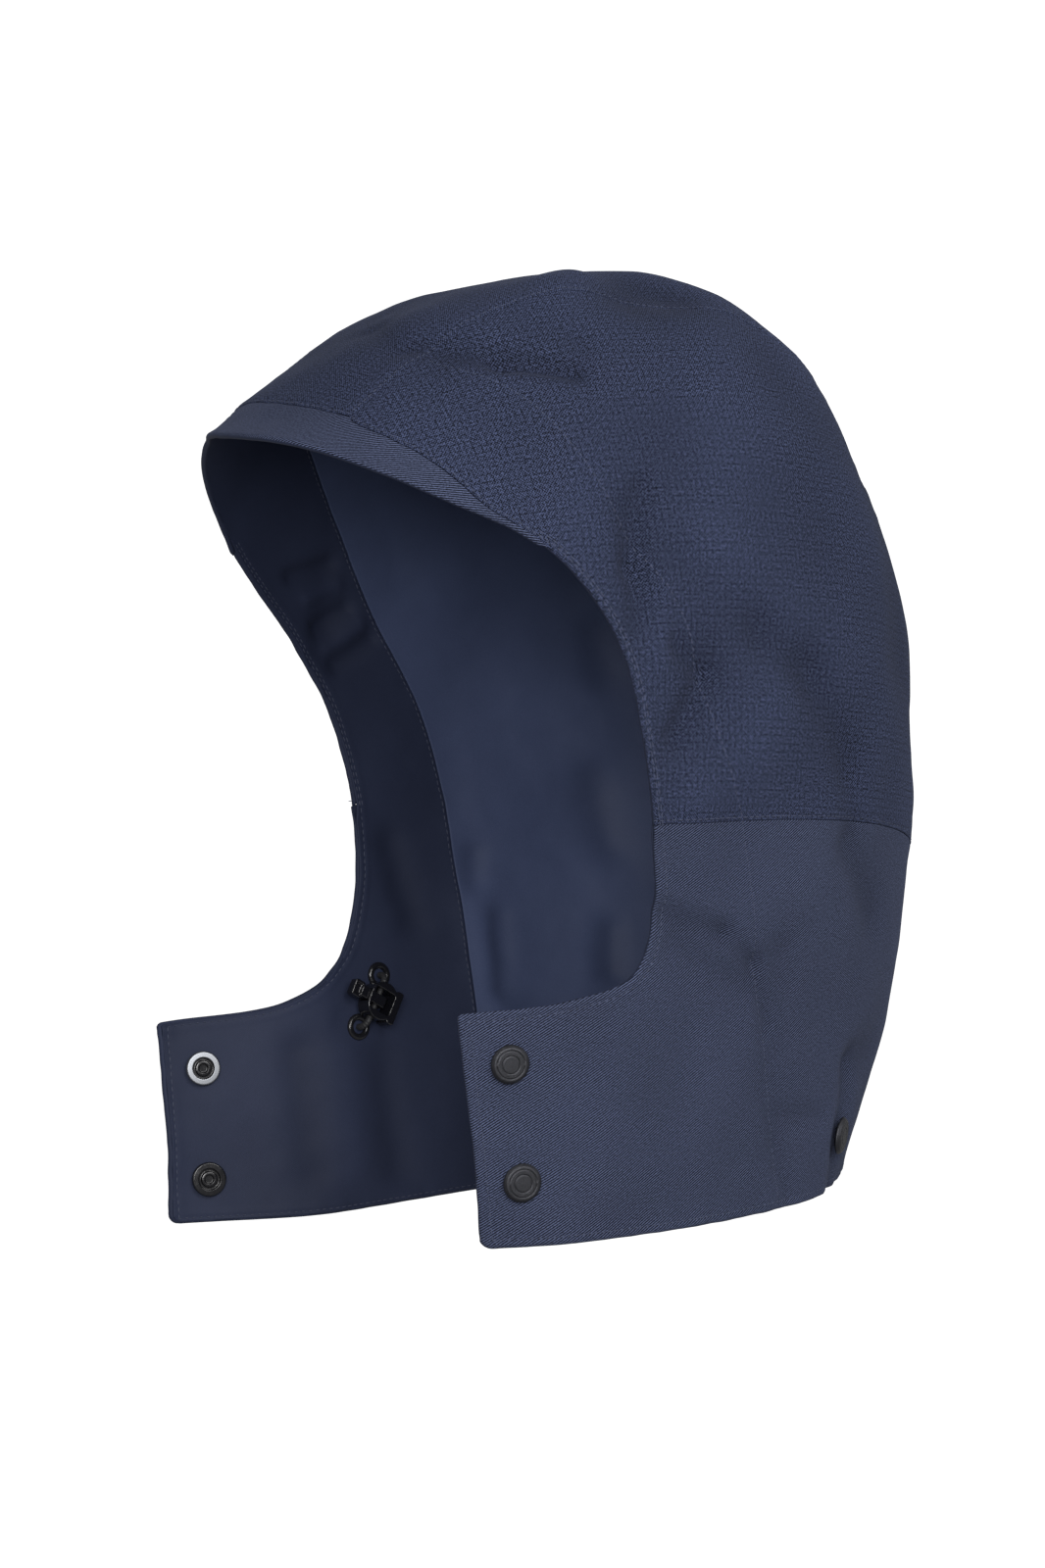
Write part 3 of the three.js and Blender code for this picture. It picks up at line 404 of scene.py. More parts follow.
def opening_curve(side, line, first_turn):
    corner = crown_point(SIDES[side] * crown_half(first_turn), np.array(first_turn, float))[1:]
    rows = []
    for block, height in ((OPENING_ROWS[side], HOOD_HEIGHT), (FLAP_ROWS[side], FLAP_DEPTH)):
        rows += list(zip(block[line + "_y"] * FRONT_REACH, block[line + "_z"] * height))
    return Curve([corner] + rows[:-1]), np.array(rows[-1])


def peak_turn(u):
    """How far over the peak's edge lies at u, from 1 at the left crown seam to -1 at the right one."""
    return PEAK_TURN + PEAK_LEAN * u + PEAK_POINT * (1 - u * u)


OPENING = {(side, line): opening_curve(side, line, first)
           for side in SIDES for line, first in (("edge", peak_turn(SIDES[side])), ("seam", FACING_TURN))}


def opening_place(side, line, station):
    """Side view place on the opening's edge, or on the facing's seam behind it."""
    curve, foot = OPENING[side, line]
    place = curve(np.minimum(station, FLAP_CORNER))
    past = np.clip(np.asarray(station) - FLAP_CORNER, 0, 1)[..., None]
    return place + (foot - place) * past


FIRST_RIB = 1.7 / 5


def strip_point(side, station, share):
    """A point between the edge (0) and the facing's seam (1)."""
    station, share = np.broadcast_arrays(np.asarray(station, float), np.asarray(share, float))
    edge, seam = opening_place(side, "edge", station), opening_place(side, "seam", station)
    place = edge + (seam - edge) * share[..., None]
    along = peak_turn(SIDES[side]) + (FACING_TURN - peak_turn(SIDES[side])) * share
    corner = crown_point(SIDES[side] * crown_half(along), along)[..., 1:]
    place = place + (corner - place) * np.clip(1 - station / FIRST_RIB, 0, 1)[..., None]
    return side_point(SIDES[side], place[..., 0], place[..., 1])


def strip_length(side, station):
    edge, seam = opening_place(side, "edge", station), opening_place(side, "seam", station)
    return np.linalg.norm(seam - edge, axis=-1)


def behind_point(side, station, share):
    """A point between the facing's seam (0) and the crown seam (1)."""
    start = strip_point(side, station, 1.0)
    turn_here = crown_turn(station)
    back = crown_point(SIDES[side] * crown_half(turn_here), turn_here)
    share = np.asarray(share, float)
    place = start + (back - start) * share[..., None]
    place[..., 2] += 4 * share * (1 - share) * NECK_SEAM_ARCH * (np.asarray(station) / JAW) ** 6
    return onto_form(place)


def hem_point(side, share):
    """The hem, from the nape (0) to the flap's foot (1)."""
    foot = OPENING[side, "edge"][1]
    front = side_point(1, foot[0], foot[1])
    across, along = front[0] / width_at(foot[1]), (foot[0] - CENTRE_BACK) / FRONT_REACH
    angle = math.atan2(across, along) * np.asarray(share, float)
    z = foot[1] + (HEM_AT_NAPE - foot[1]) * (1 - np.asarray(share)) ** 1.5
    reach = np.where(np.cos(angle) >= 0, back_at(z), FRONT_REACH)
    x = SIDES[side] * width_at(z) * np.sin(angle)
    return onto_form(points(x, CENTRE_BACK + reach * np.cos(angle), z))


def neck_column_share(side, share):
    """Where a column of the neck starts at the hem, for a place between edge (0) and facing seam (1)."""
    first = HEM_COLUMN / strip_length(side, JAW)
    column = np.where(share < first, share / first, 1 + 3 * (share - first) / (1 - first))
    return FLAP_HEM["share"][0] + (HEM_SHARE_SEAM - FLAP_HEM["share"][0]) * column / 4


def between(low, high, rows):
    """Columns of the neck: straight from the hem to the top, on the form."""
    t = np.asarray(rows, float)[:, None, None]
    return onto_form(low[None] + (high - low)[None] * t)


print("Facing strip at the jaw:", round(float(strip_length("left", JAW)), 1), "mm wide")

# %% [markdown]
# ## Cloth panels
#
# Each panel of the real hood is cut flat, sewn along its borders and turned under where it ends free. A
# simulation would lose the outline of the solids, so a panel is a fine grid laid on the form. The rows
# crowd together near its borders, where the edge rolls over: a narrow roll into a seam, and a thick one
# where the cloth is turned in at a free edge.

# %% Laying a grid
NEAR = np.array([0, 0.3, 0.7, 1.2, 1.9, 2.8, 4.0])
CELL = 2.1
SEAM_INSET, FREE_INSET = 0.55, 1.3
FOOT_ROUND, TOP_ROUND = 3.2, 1.6


def respace(grid, axis, start, end):
    """Slides the points of a grid along its lines, so that they crowd together near both ends. The lines
    are cut short by `start` and `end`, each one number or one for each line."""
    lines = np.moveaxis(grid, axis, 0)
    travel = np.linalg.norm(np.diff(lines[..., :3], axis=0), axis=-1)
    travel = np.vstack([np.zeros(travel.shape[1]), np.cumsum(travel, axis=0)])
    length = travel[-1]
    start, end = (np.broadcast_to(v, length.shape) for v in (start, end))
    room = np.minimum(1, 0.8 * length / np.maximum(start + end, 1e-6))
    start, end = start * room, end * room
    squeeze = np.clip((length - start - end) / (2.2 * NEAR[-1]), 0, 1)
    middle = max(int(np.ceil((length.max() - 2 * NEAR[-1]) / CELL)), 2)
    rows = []
    for j in range(lines.shape[1]):
        near = NEAR * squeeze[j]
        low, high = start[j], length[j] - end[j]
        inner = np.linspace(low + near[-1], high - near[-1], middle + 1)[1:-1]
        at = np.concatenate([low + near, inner, (high - near)[::-1]])
        rows.append(np.stack([np.interp(at, travel[:, j], line) for line in lines[:, j].T], -1))
    laid = np.stack(rows, 1)
    laid[..., :3] = onto_form(laid[..., :3])
    return np.moveaxis(laid, 0, axis)


# %% From grids to a closed, rolled shell
def weld(grids, frees):
    """Numbers the points of grids that share borders, and lists their faces, outside out."""
    flat = np.concatenate([g.reshape(-1, 3) for g in grids])
    free = np.concatenate([np.ravel(f) for f in frees])
    _, first, number = np.unique(np.round(flat, 2), axis=0, return_index=True, return_inverse=True)
    number = number.ravel()
    place, faces, base = flat[first], [], 0
    free_of = np.zeros(len(first))
    np.maximum.at(free_of, number, free)
    for g in grids:
        n, m = g.shape[:2]
        ids = number[base:base + n * m].reshape(n, m)
        base += n * m
        quads = np.stack([ids[:-1, :-1], ids[1:, :-1], ids[1:, 1:], ids[:-1, 1:]], -1).reshape(-1, 4)
        a, b, c = place[quads[:, 0]], place[quads[:, 1]], place[quads[:, 2]]
        facing_out = (np.cross(b - a, c - a) * outward(a)).sum(-1).sum() > 0
        faces += [q if facing_out else q[::-1] for q in quads.tolist()]
    tidy = []
    for q in faces:
        q = [v for k, v in enumerate(q) if v != q[k - 1]]
        if len(set(q)) == len(q) >= 3:
            tidy.append(q)
    return place, free_of, tidy


def borders(faces):
    edges = {(q[k - 1], q[k]) for q in faces for k in range(len(q))}
    return {a: b for a, b in edges if (b, a) not in edges}


def mesh_object(name, vertices, faces, uv=None, finish=None):
    mesh = bpy.data.meshes.new(name)
    mesh.from_pydata(np.asarray(vertices).tolist(), [], faces)
    if uv is not None:
        layer = mesh.uv_layers.new(name="weave")
        index = np.zeros(len(mesh.loops), int)
        mesh.loops.foreach_get("vertex_index", index)
        layer.data.foreach_set("uv", np.asarray(uv, np.float32)[index].ravel())
    mesh.shade_smooth()
    made = bpy.data.objects.new(name, mesh)
    bpy.context.collection.objects.link(made)
    if finish:
        mesh.materials.append(finish)
    return made


def flat_pattern(vertices, faces, up):
    """Unwraps an open sheet into the flat piece it was cut from: millimetres, with `up` along v."""
    made = mesh_object("pattern", vertices, faces, uv=np.zeros((len(vertices), 2)))
    bpy.context.view_layer.objects.active = made
    made.select_set(True)
    bpy.ops.object.mode_set(mode="EDIT")
    bpy.ops.mesh.select_all(action="SELECT")
    bpy.ops.uv.unwrap(method="ANGLE_BASED", margin=0)
    bpy.ops.object.mode_set(mode="OBJECT")
    mesh = made.data
    index, uv = np.zeros(len(mesh.loops), int), np.zeros(2 * len(mesh.loops))
    mesh.loops.foreach_get("vertex_index", index)
    mesh.uv_layers[0].data.foreach_get("uv", uv)
    flat = np.zeros((len(vertices), 2))
    flat[index] = uv.reshape(-1, 2)
    triangles = np.array([(q[0], q[k], q[k + 1]) for q in faces for k in range(1, len(q) - 1)])
    a, b, c = (flat[triangles[:, k]] for k in range(3))
    cut = 0.5 * ((b - a)[:, 0] * (c - a)[:, 1] - (b - a)[:, 1] * (c - a)[:, 0])
    a, b, c = (np.asarray(vertices)[triangles[:, k]] for k in range(3))
    area = 0.5 * np.linalg.norm(np.cross(b - a, c - a), axis=-1).sum()
    flat *= math.sqrt(area / abs(cut.sum()))
    if cut.sum() < 0:
        flat[:, 0] *= -1
    fit = np.column_stack([flat, np.ones(len(flat))])
    rise = np.linalg.lstsq(fit, up, rcond=None)[0][:2]
    rise /= np.linalg.norm(rise)
    flat = flat @ np.array([[rise[1], rise[0]], [-rise[0], rise[1]]])
    bpy.data.objects.remove(made)
    return flat - flat.min(0), area


ROLL_STEPS = 5
pieces, SHEETS, RELIEFS = {}, {}, {}


def cloth(name, grids, frees, depth, wall, roll_to, relief, finish, up=None, dent=None):
    """A closed panel: an outer sheet, an inner sheet and a round roll along every border."""
    place, free, faces = weld(grids, frees)
    border = borders(faces)
    RELIEFS[name] = relief
    ids = np.array(sorted(border))
    before = {b: a for a, b in border.items()}
    normal = outward(place)
    lift = relief(place)
    extra = dent(place) if dent else 0.0
    top = skin(place, depth + extra, lift)
    reach = wall + (roll_to - depth - wall) * free
    bottom = skin(place, depth + extra + reach, lift)
    nxt = np.array([border[i] for i in ids])
    prv = np.array([before[i] for i in ids])
    into = unit(np.cross(normal[ids], place[nxt] - place[ids]))
    into_before = unit(np.cross(normal[ids], place[ids] - place[prv]))
    blend = np.maximum(1 + (into * into_before).sum(-1, keepdims=True), 0.4)
    into = (into + into_before) / blend
    centre, radius = (top[ids] + bottom[ids]) / 2, reach[ids, None] / 2
    height = place[:, 2] if up is None else up(place)
    flat, area = flat_pattern(top, faces, height)
    run = unit(flat[nxt] - flat[prv])
    into_flat = np.stack([-run[:, 1], run[:, 0]], -1)
    rings, uv = [ids], [flat, flat]
    vertices = [top, bottom]
    count = 2 * len(place)
    for k in range(1, ROLL_STEPS):
        angle = math.pi * k / ROLL_STEPS
        vertices.append(centre + normal[ids] * radius * math.cos(angle) - into * radius * math.sin(angle))
        uv.append(flat[ids] - into_flat * radius * angle)
        rings.append(np.arange(count, count + len(ids)))
        count += len(ids)
    rings.append(ids + len(place))
    slot_of = {v: k for k, v in enumerate(ids)}
    all_faces = [list(q) for q in faces] + [[v + len(place) for v in reversed(q)] for q in faces]
    for a, b in border.items():
        i, j = slot_of[a], slot_of[b]
        for low, high in zip(rings[:-1], rings[1:]):
            all_faces.append([int(low[j]), int(low[i]), int(high[i]), int(high[j])])
    uv = np.concatenate(uv)
    made = mesh_object(name + "_sewn", metres(np.concatenate(vertices)), all_faces, uv=uv, finish=finish)
    # Painted shade and wear: a value that darkens the cloth's colour in fold valleys, where shade falls, and
    # lightens it on fold crests, partly as wear.
    crest = np.clip((folded(place) + 0.5 * slack(place)) * (-1 if depth else 1) / 3, -1, 0.7)
    crest = np.concatenate([crest, crest] + [crest[ids]] * (ROLL_STEPS - 1))
    made.data.attributes.new("crest", "FLOAT", "POINT").data.foreach_set("value", crest.astype(np.float32))
    if depth == 0:
        made.data.materials.append(cloths["facing"])
        inside = np.ones(len(all_faces), np.int32)
        inside[:len(faces)] = 0
        inside[2 * len(faces):] = np.arange(len(border) * ROLL_STEPS) % ROLL_STEPS > 1
        made.data.polygons.foreach_set("material_index", inside)
    size = flat.max(0)
    SHEETS[name] = (size[0] * MM, size[1] * MM, area * MM * MM)
    pieces[name] = made
    print(name, len(made.data.polygons), "faces, cut from", size.round(), "mm")


def outer_cloth(name, grid, free, relief, finish, up=None):
    cloth(name, [grid], [free], 0, OUTER_FINE, INSIDE_DEPTH, relief, finish, up)


def inner_cloth(name, grids, frees, relief, finish, up=None, dent=None):
    cloth(name, grids, frees, INNER_DEPTH, INNER_WALL, INSIDE_DEPTH, relief, finish, up, dent)

# %% [markdown]
# ## Seams, grooves and puckers
#
# A row of stitches pulls the layers together, so a fine groove runs under it, and the turned allowance
# beside a seam stands out as a soft band. Bump could draw this, but it shows along the edges of the hood
# too, so it is worked into the grids from the distance to each line.

# %% Lines of the pattern
STATIONS = np.linspace(0, JAW, 240)
SHARES = np.linspace(0, 1, 60)
BAND_END, FACE_ROW_START, BAND_JOIN, BAND_JOIN_RUN = 1.95, 1.85, 1.68, 0.2
CORNER_STRIP = math.radians(PEAK_TURN - FACING_TURN) * FRONT_REACH


def band_share(side, station):
    near_corner = np.clip(1 - station / FIRST_RIB, 0, 1)
    length = strip_length(side, station)
    length = length + (CORNER_STRIP - length) * near_corner
    return BAND_WIDTH * read(BAND, "station", "width", station) / length


def crown_strip(u, share):
    """A point of the crown's front strip: u across, share from the edge (0) to the facing's seam (1)."""
    turn_here = peak_turn(u) + (FACING_TURN - peak_turn(u)) * share
    return crown_point(u * crown_half(turn_here), turn_here)


ACROSS = np.linspace(1, -1, 61)
neck_side_top = {side: np.concatenate([strip_point(side, JAW, SHARES), behind_point(side, JAW, SHARES)[1:]])
                 for side in SIDES}
nape_top = crown_point(ACROSS * crown_half(NECK_TURN), np.full(ACROSS.shape, NECK_TURN))
foot_columns = np.linspace(JAW, FLAP_CORNER, 60)


def seam_line_low(side):
    """The facing's seam where it runs down the neck to the hem."""
    top, low = strip_point(side, JAW, 1.0), hem_point(side, HEM_SHARE_SEAM)
    return onto_form(top + (low - top) * SHARES[:, None])


def front_edge(side):
    top, low = strip_point(side, FLAP_CORNER, 0.0), hem_point(side, 1.0)
    return onto_form(top + (low - top) * SHARES[:, None])


BAND_STATIONS = np.linspace(BAND_END, 0, 80)
left_band, right_band = (strip_point(side, BAND_STATIONS, band_share(side, BAND_STATIONS)) for side in SIDES)
LINE_POINTS = {
    "neck_seam": np.concatenate([neck_side_top["left"], nape_top[1:-1], neck_side_top["right"][::-1]]),
    "band_seam": np.concatenate([left_band, crown_strip(ACROSS, BAND_WIDTH / CORNER_STRIP)[1:-1],
                                 right_band[::-1]]),
    "hem": np.concatenate([hem_point("left", SHARES[::-1]), hem_point("right", SHARES)[1:]]),
}
for side, sign in SIDES.items():
    high_turns = np.linspace(PEAK_TURN - 7, FACING_TURN, 20)
    turns = np.concatenate([high_turns, crown_turn(STATIONS)[1:]])
    LINE_POINTS["crown_seam_" + side] = crown_point(sign * crown_half(turns), turns)
    LINE_POINTS["face_" + side] = strip_point(side, STATIONS[STATIONS > FACE_ROW_START], 0.0)
    LINE_POINTS["throat_" + side] = strip_point(side, foot_columns, 0.0)
    LINE_POINTS["front_" + side] = front_edge(side)
    LINE_POINTS["facing_side_" + side] = strip_point(side, STATIONS[3:], 1.0)
    LINE_POINTS["facing_low_" + side] = seam_line_low(side)
    LINE_POINTS["facing_line_" + side] = np.concatenate([LINE_POINTS["facing_side_" + side],
                                                         seam_line_low(side)[1:]])
    LINE_POINTS["neck_side_" + side] = neck_side_top[side]
    LINE_POINTS["band_side_" + side] = strip_point(side, BAND_STATIONS, band_share(side, BAND_STATIONS))
LINE_POINTS["nape_seam"] = nape_top
LINE_POINTS["band_crown"] = crown_strip(ACROSS, BAND_WIDTH / CORNER_STRIP)


# %% Distances and relief
def travel_along(line):
    return np.concatenate([[0], np.cumsum(np.linalg.norm(np.diff(line, axis=0), axis=1))])


def dense(line, step=0.5):
    travel = travel_along(line)
    at = np.linspace(0, travel[-1], int(travel[-1] / step) + 2)
    return onto_form(np.stack([np.interp(at, travel, line[:, c]) for c in range(3)], -1)), at


class Line:
    def __init__(self, name):
        self.place, self.travel = dense(LINE_POINTS[name])
        self.tree = KDTree(len(self.place))
        for i, p in enumerate(self.place):
            self.tree.insert(p, i)
        self.tree.balance()

    def near(self, p):
        found = [self.tree.find(q) for q in p]
        return np.array([f[2] for f in found]), self.travel[np.array([f[1] for f in found])]


PARTS = ("neck_side", "band_side", "facing_side", "facing_low", "nape_seam", "band_crown")
LINES = {name: Line(name) for name in LINE_POINTS if not name.startswith(PARTS)}
pucker_waves = waves(21, 14, 5, 13)
print(len(LINE_POINTS), "lines drawn,", len(LINES), "of them worked into the cloth")
GROOVE_DEPTH, GROOVE_WIDTH = 0.2, 0.6
LINE_ROWS = {
    "face": dict(rows=(2.0, 3.3), band=0.22, reach=5.0, pucker=0.13),
    "throat": dict(rows=(3.3,), inner=(2.2,), band=0.2, reach=4.5, pucker=0.14),
    "front": dict(rows=(3.3,), inner=(2.2,), band=0.2, reach=4.5, pucker=0.1),
    "hem": dict(rows=(3.3,), inner=(2.2,), band=0.2, reach=4.5, pucker=0.16),
    "neck_seam": dict(rows=(1.5,), band=0.3, reach=8.0, pucker=0.12),
    "band_seam": dict(rows=(1.2,), band=0.25, reach=6.0, pucker=0.12),
    "crown_seam": dict(rows=(1.5,), band=0.28, reach=7.0, pucker=0.12),
    "facing_line": dict(rows=(0.0,), band=0.0, reach=3.0, pucker=0.1),
}


def relief_of(*names, plain=(), inside=False):
    """Grooves and soft bands along the named lines. A plain one has no stitches on this side of it."""
    def relief(p):
        lift = np.zeros(len(p))
        for name in names + tuple(plain):
            row = LINE_ROWS[name.replace("_left", "").replace("_right", "")]
            away, travel = LINES[name].near(p)
            for offset in row["inner" if inside and "inner" in row else "rows"] if name in names else ():
                lift -= GROOVE_DEPTH * np.exp(-((away - offset) / GROOVE_WIDTH) ** 2)
            if name in names:
                lift += row["band"] * (1 - smooth((away - row["reach"] + 1) / 2.5))
            wave = pucker_waves(np.stack([travel, 0 * travel, 0 * travel], -1))
            lift += row["pucker"] * wave * np.exp(-((away / 4.0) ** 2))
        return -lift if inside else lift
    return relief


# %% [markdown]
# ## Fabric
#
# Cloth is threads, so each finish is built from its weave: fine crossed threads with a thicker grid for
# the ripstop, a slanted rib for the twill, a close smooth weave for the lining. The patterns read the flat
# pattern's own millimetres, so they run with the grain of each piece and turn with it at a seam. Bump
# gives the threads their light, and slow noise the faint unevenness of dyed cotton.

# %% A short way to write node trees
class Net:
    def __init__(self, name, **values):
        self.material = bpy.data.materials.new(name)
        self.material.use_nodes = True
        self.nodes, self.links = self.material.node_tree.nodes, self.material.node_tree.links
        self.shader = self.nodes["Principled BSDF"]
        for socket, value in values.items():
            self.shader.inputs[socket.replace("_", " ")].default_value = value

    def put(self, socket, value):
        if isinstance(value, bpy.types.NodeSocket):
            self.links.new(value, socket)
        else:
            socket.default_value = value

    def math(self, operation, *values):
        node = self.nodes.new("ShaderNodeMath")
        node.operation = operation
        for socket, value in zip(node.inputs, values):
            self.put(socket, value)
        return node.outputs[0]

    def flat(self):
        node = self.nodes.new("ShaderNodeUVMap")
        node.uv_map = "weave"
        split = self.nodes.new("ShaderNodeSeparateXYZ")
        self.links.new(node.outputs[0], split.inputs[0])
        return node.outputs[0], split.outputs[0], split.outputs[1]

    def place(self):
        return self.nodes.new("ShaderNodeTexCoord").outputs["Object"]

    def stored(self, name):
        node = self.nodes.new("ShaderNodeAttribute")
        node.attribute_name = name
        return node.outputs["Fac"]

    def noise(self, where, scale, detail=2.0, rough=0.5):
        node = self.nodes.new("ShaderNodeTexNoise")
        self.put(node.inputs["Vector"], where)
        for socket, value in (("Scale", scale), ("Detail", detail), ("Roughness", rough)):
            node.inputs[socket].default_value = value
        return node.outputs[0]

    def mix(self, share, first, second):
        node = self.nodes.new("ShaderNodeMix")
        node.data_type = "RGBA"
        for socket, value in ((node.inputs[0], share), (node.inputs[6], first), (node.inputs[7], second)):
            self.put(socket, value)
        return node.outputs[2]

    def bump(self, height, distance, strength=1.0):
        node = self.nodes.new("ShaderNodeBump")
        self.put(node.inputs["Height"], height)
        node.inputs["Distance"].default_value = distance
        node.inputs["Strength"].default_value = strength
        self.links.new(node.outputs[0], self.shader.inputs["Normal"])

    def wave(self, at, pitch):
        """0 to 1 and back, once in each pitch."""
        turn_share = self.math("MULTIPLY", at, 2 * math.pi / pitch)
        return self.math("MULTIPLY_ADD", self.math("SINE", turn_share), 0.5, 0.5)


def tone(color, factor):
    return tuple(c * factor for c in color[:3]) + (1.0,)


# %% Canvas, twill, facing and lining
CANVAS = (0.029, 0.0365, 0.071)
TWILL = (0.033, 0.040, 0.071)
FACING = (0.020, 0.0255, 0.051)
LINING = (0.050, 0.065, 0.127)
THREAD_PITCH, RIPSTOP_PITCH, TWILL_PITCH, TWILL_SLOPE = 1.16, 3.05, 0.9, math.radians(47)
BRIGHTEST = 3.0


def cloth_values(color, roughness, sheen):
    return {"Base_Color": (*color, 1), "Roughness": roughness, "Specular_IOR_Level": 0.12,
            "Sheen_Weight": sheen, "Sheen_Roughness": 0.4, "Sheen_Tint": (0.5, 0.58, 0.9, 1)}


def finish_cloth(net, color, height, contrast, mottled, depth):
    """Colour and bump from a weave height between 0 and 1, with painted shade darker in fold valleys and
    lighter on crests.
    """
    patches = net.noise(net.place(), 16.0, 3.0, 0.6)
    fibres = net.noise(net.place(), 2600.0, 2.0, 0.6)
    shade = net.math("MAXIMUM", net.math("MULTIPLY_ADD", height, contrast, 1 - contrast / 2), 0.12)
    shade = net.math("MULTIPLY", shade, net.math("MULTIPLY_ADD", patches, mottled, 1 - mottled / 2))
    shade = net.math("MULTIPLY", shade, net.math("MULTIPLY_ADD", fibres, 0.5, 0.75))
    # Painted shade and wear: the colour is darker in fold valleys and lighter on fold crests.
    shade = net.math("MULTIPLY", shade, net.math("MULTIPLY_ADD", net.stored("crest"), 0.22, 1.0))
    scaled = net.math("MULTIPLY", shade, 1 / BRIGHTEST)
    net.put(net.shader.inputs["Base Color"], net.mix(scaled, (0, 0, 0, 1), tone(color, BRIGHTEST)))
    net.bump(net.math("MULTIPLY_ADD", fibres, 0.35, height), depth)
    return net.material


def canvas():
    net = Net("ripstop canvas", **cloth_values(CANVAS, 0.9, 0.05))
    where, u, v = net.flat()
    waver = net.math("MULTIPLY", net.noise(where, 0.35), 0.5)
    u, v = net.math("ADD", u, waver), net.math("ADD", v, waver)
    swings = (net.math("SINE", net.math("MULTIPLY", a, 2 * math.pi / THREAD_PITCH)) for a in (u, v))
    threads = net.math("MULTIPLY_ADD", net.math("MULTIPLY", *swings), 0.5, 0.5)
    knots = net.noise(where, 1.2, 1.0)
    threads = net.math("ADD", net.math("MULTIPLY", threads, 0.3), net.math("MULTIPLY", knots, 0.7))
    lines = net.math("MAXIMUM", *(net.math("POWER", net.wave(a, RIPSTOP_PITCH), 8.0) for a in (u, v)))
    height = net.math("SUBTRACT", threads, net.math("MULTIPLY", lines, 0.06))
    return finish_cloth(net, CANVAS, height, 6.6, 0.16, 0.14 * MM)


def twill():
    net = Net("cotton twill", **cloth_values(TWILL, 0.9, 0.05))
    where, u, v = net.flat()
    slant = net.math("SUBTRACT", net.math("MULTIPLY", v, math.cos(TWILL_SLOPE)),
                     net.math("MULTIPLY", u, math.sin(TWILL_SLOPE)))
    slant = net.math("ADD", slant, net.math("MULTIPLY", net.noise(where, 0.8), 0.3))
    rib = net.wave(slant, TWILL_PITCH)
    knots = net.noise(where, 1.3, 1.0)
    height = net.math("ADD", net.math("MULTIPLY", rib, 0.5), net.math("MULTIPLY", knots, 0.5))
    return finish_cloth(net, TWILL, height, 6.0, 0.16, 0.12 * MM)


def smooth_weave(name, color, roughness, pitch):
    net = Net(name, **cloth_values(color, roughness, 0.03))
    net.shader.inputs["Specular IOR Level"].default_value = 0.14
    where, u, v = net.flat()
    threads = net.math("MULTIPLY", net.wave(u, pitch), net.wave(v, pitch))
    streaks = net.noise(where, 0.12, 4.0, 0.7)
    height = net.math("MULTIPLY_ADD", threads, 0.6, net.math("MULTIPLY", streaks, 0.4))
    return finish_cloth(net, color, height, 0.3, 0.18, 0.05 * MM)


cloths = {"canvas": canvas(), "twill": twill(), "facing": smooth_weave("facing cloth", FACING, 0.6, 0.5),
          "lining": smooth_weave("lining cloth", LINING, 0.5, 0.4)}
print("Cloths:", ", ".join(cloths))

# %% [markdown]
# ## The outer panels
#
# Two sides, a crown between them, a band along the peak and one long neck piece that ends in the flaps.
# They could be one skin with drawn seams, but real seams have two rolled edges meeting in a groove, so
# each panel is its own closed shell, drawn in by a hair from its neighbours.


# %% Side panels
def side_panel(side):
    station = np.linspace(0, JAW, 130)
    low = band_share(side, station)[:, None]
    strip = strip_point(side, station[:, None], low + (1 - low) * np.linspace(0, 1, 26)[None])
    rest = behind_point(side, station[:, None], np.linspace(0, 1, 60)[None])
    free = smooth((station - BAND_JOIN) / BAND_JOIN_RUN)
    grid = np.concatenate([strip, rest[:, 1:]], 1)
    grid = respace(grid, 1, SEAM_INSET + (FREE_INSET - SEAM_INSET) * free, SEAM_INSET)
    marked = np.concatenate([grid, np.broadcast_to(free[:, None, None], grid.shape[:2] + (1,))], -1)
    grid = respace(marked, 0, SEAM_INSET, SEAM_INSET)
    free = np.zeros(grid.shape[:2])
    free[:, 0] = grid[:, 0, 3]
    return grid[..., :3], free


for side in SIDES:
    lines = relief_of("face_" + side, "neck_seam", "band_seam", "facing_line_" + side,
                      plain=["crown_seam_" + side])
    outer_cloth("side_panel_" + side, *side_panel(side), lines, cloths["canvas"])


# %% Crown, band and neck
def crown_panel(first, back_inset, front_inset, down_to_hem=False):
    """Columns across the crown, and rows from `first`, a share of the front strip, down to the neck seam or
    the hem."""
    u = np.linspace(1, -1, 60)[:, None]
    front = crown_strip(u, first + (1 - first) * np.linspace(0, 1, 20)[None])[:, :-1]
    turns = np.linspace(FACING_TURN, NECK_TURN, 160)
    back = crown_point(u * crown_half(turns)[None], np.broadcast_to(turns, (60, 160)))
    grid = back if first >= 1 else np.concatenate([front, back], 1)
    if down_to_hem:
        low = np.concatenate([hem_point("left", HEM_SHARE_CROWN * u[:30, 0]),
                              hem_point("right", -HEM_SHARE_CROWN * u[30:, 0])])
        down = between(grid[:, -1], low, np.linspace(0, 1, 40)[1:])
        grid = np.concatenate([grid, np.moveaxis(down, 0, 1)], 1)
    grid = respace(grid, 1, front_inset, back_inset)
    grid = respace(grid, 0, SEAM_INSET, SEAM_INSET)
    return grid, np.zeros(grid.shape[:2])


def peak_band():
    station = np.linspace(BAND_END, 0, 90)[:, None]
    shares = np.linspace(0, 1, 12)[None]
    ends = [strip_point(side, station, band_share(side, station) * shares) for side in SIDES]
    middle = crown_strip(np.linspace(1, -1, 60)[:, None], BAND_WIDTH / CORNER_STRIP * shares)
    grid = np.concatenate([ends[0][:-1], middle, ends[1][::-1][1:]])
    grid = respace(grid, 1, FREE_INSET, SEAM_INSET)
    grid = respace(grid, 0, 0, 0)
    fade = np.interp(np.linspace(0, 1, len(grid)), [0, 0.04, 0.96, 1], [0, 1, 1, 0])
    free = np.zeros(grid.shape[:2])
    free[:, 0] = smooth(fade)
    return grid, free


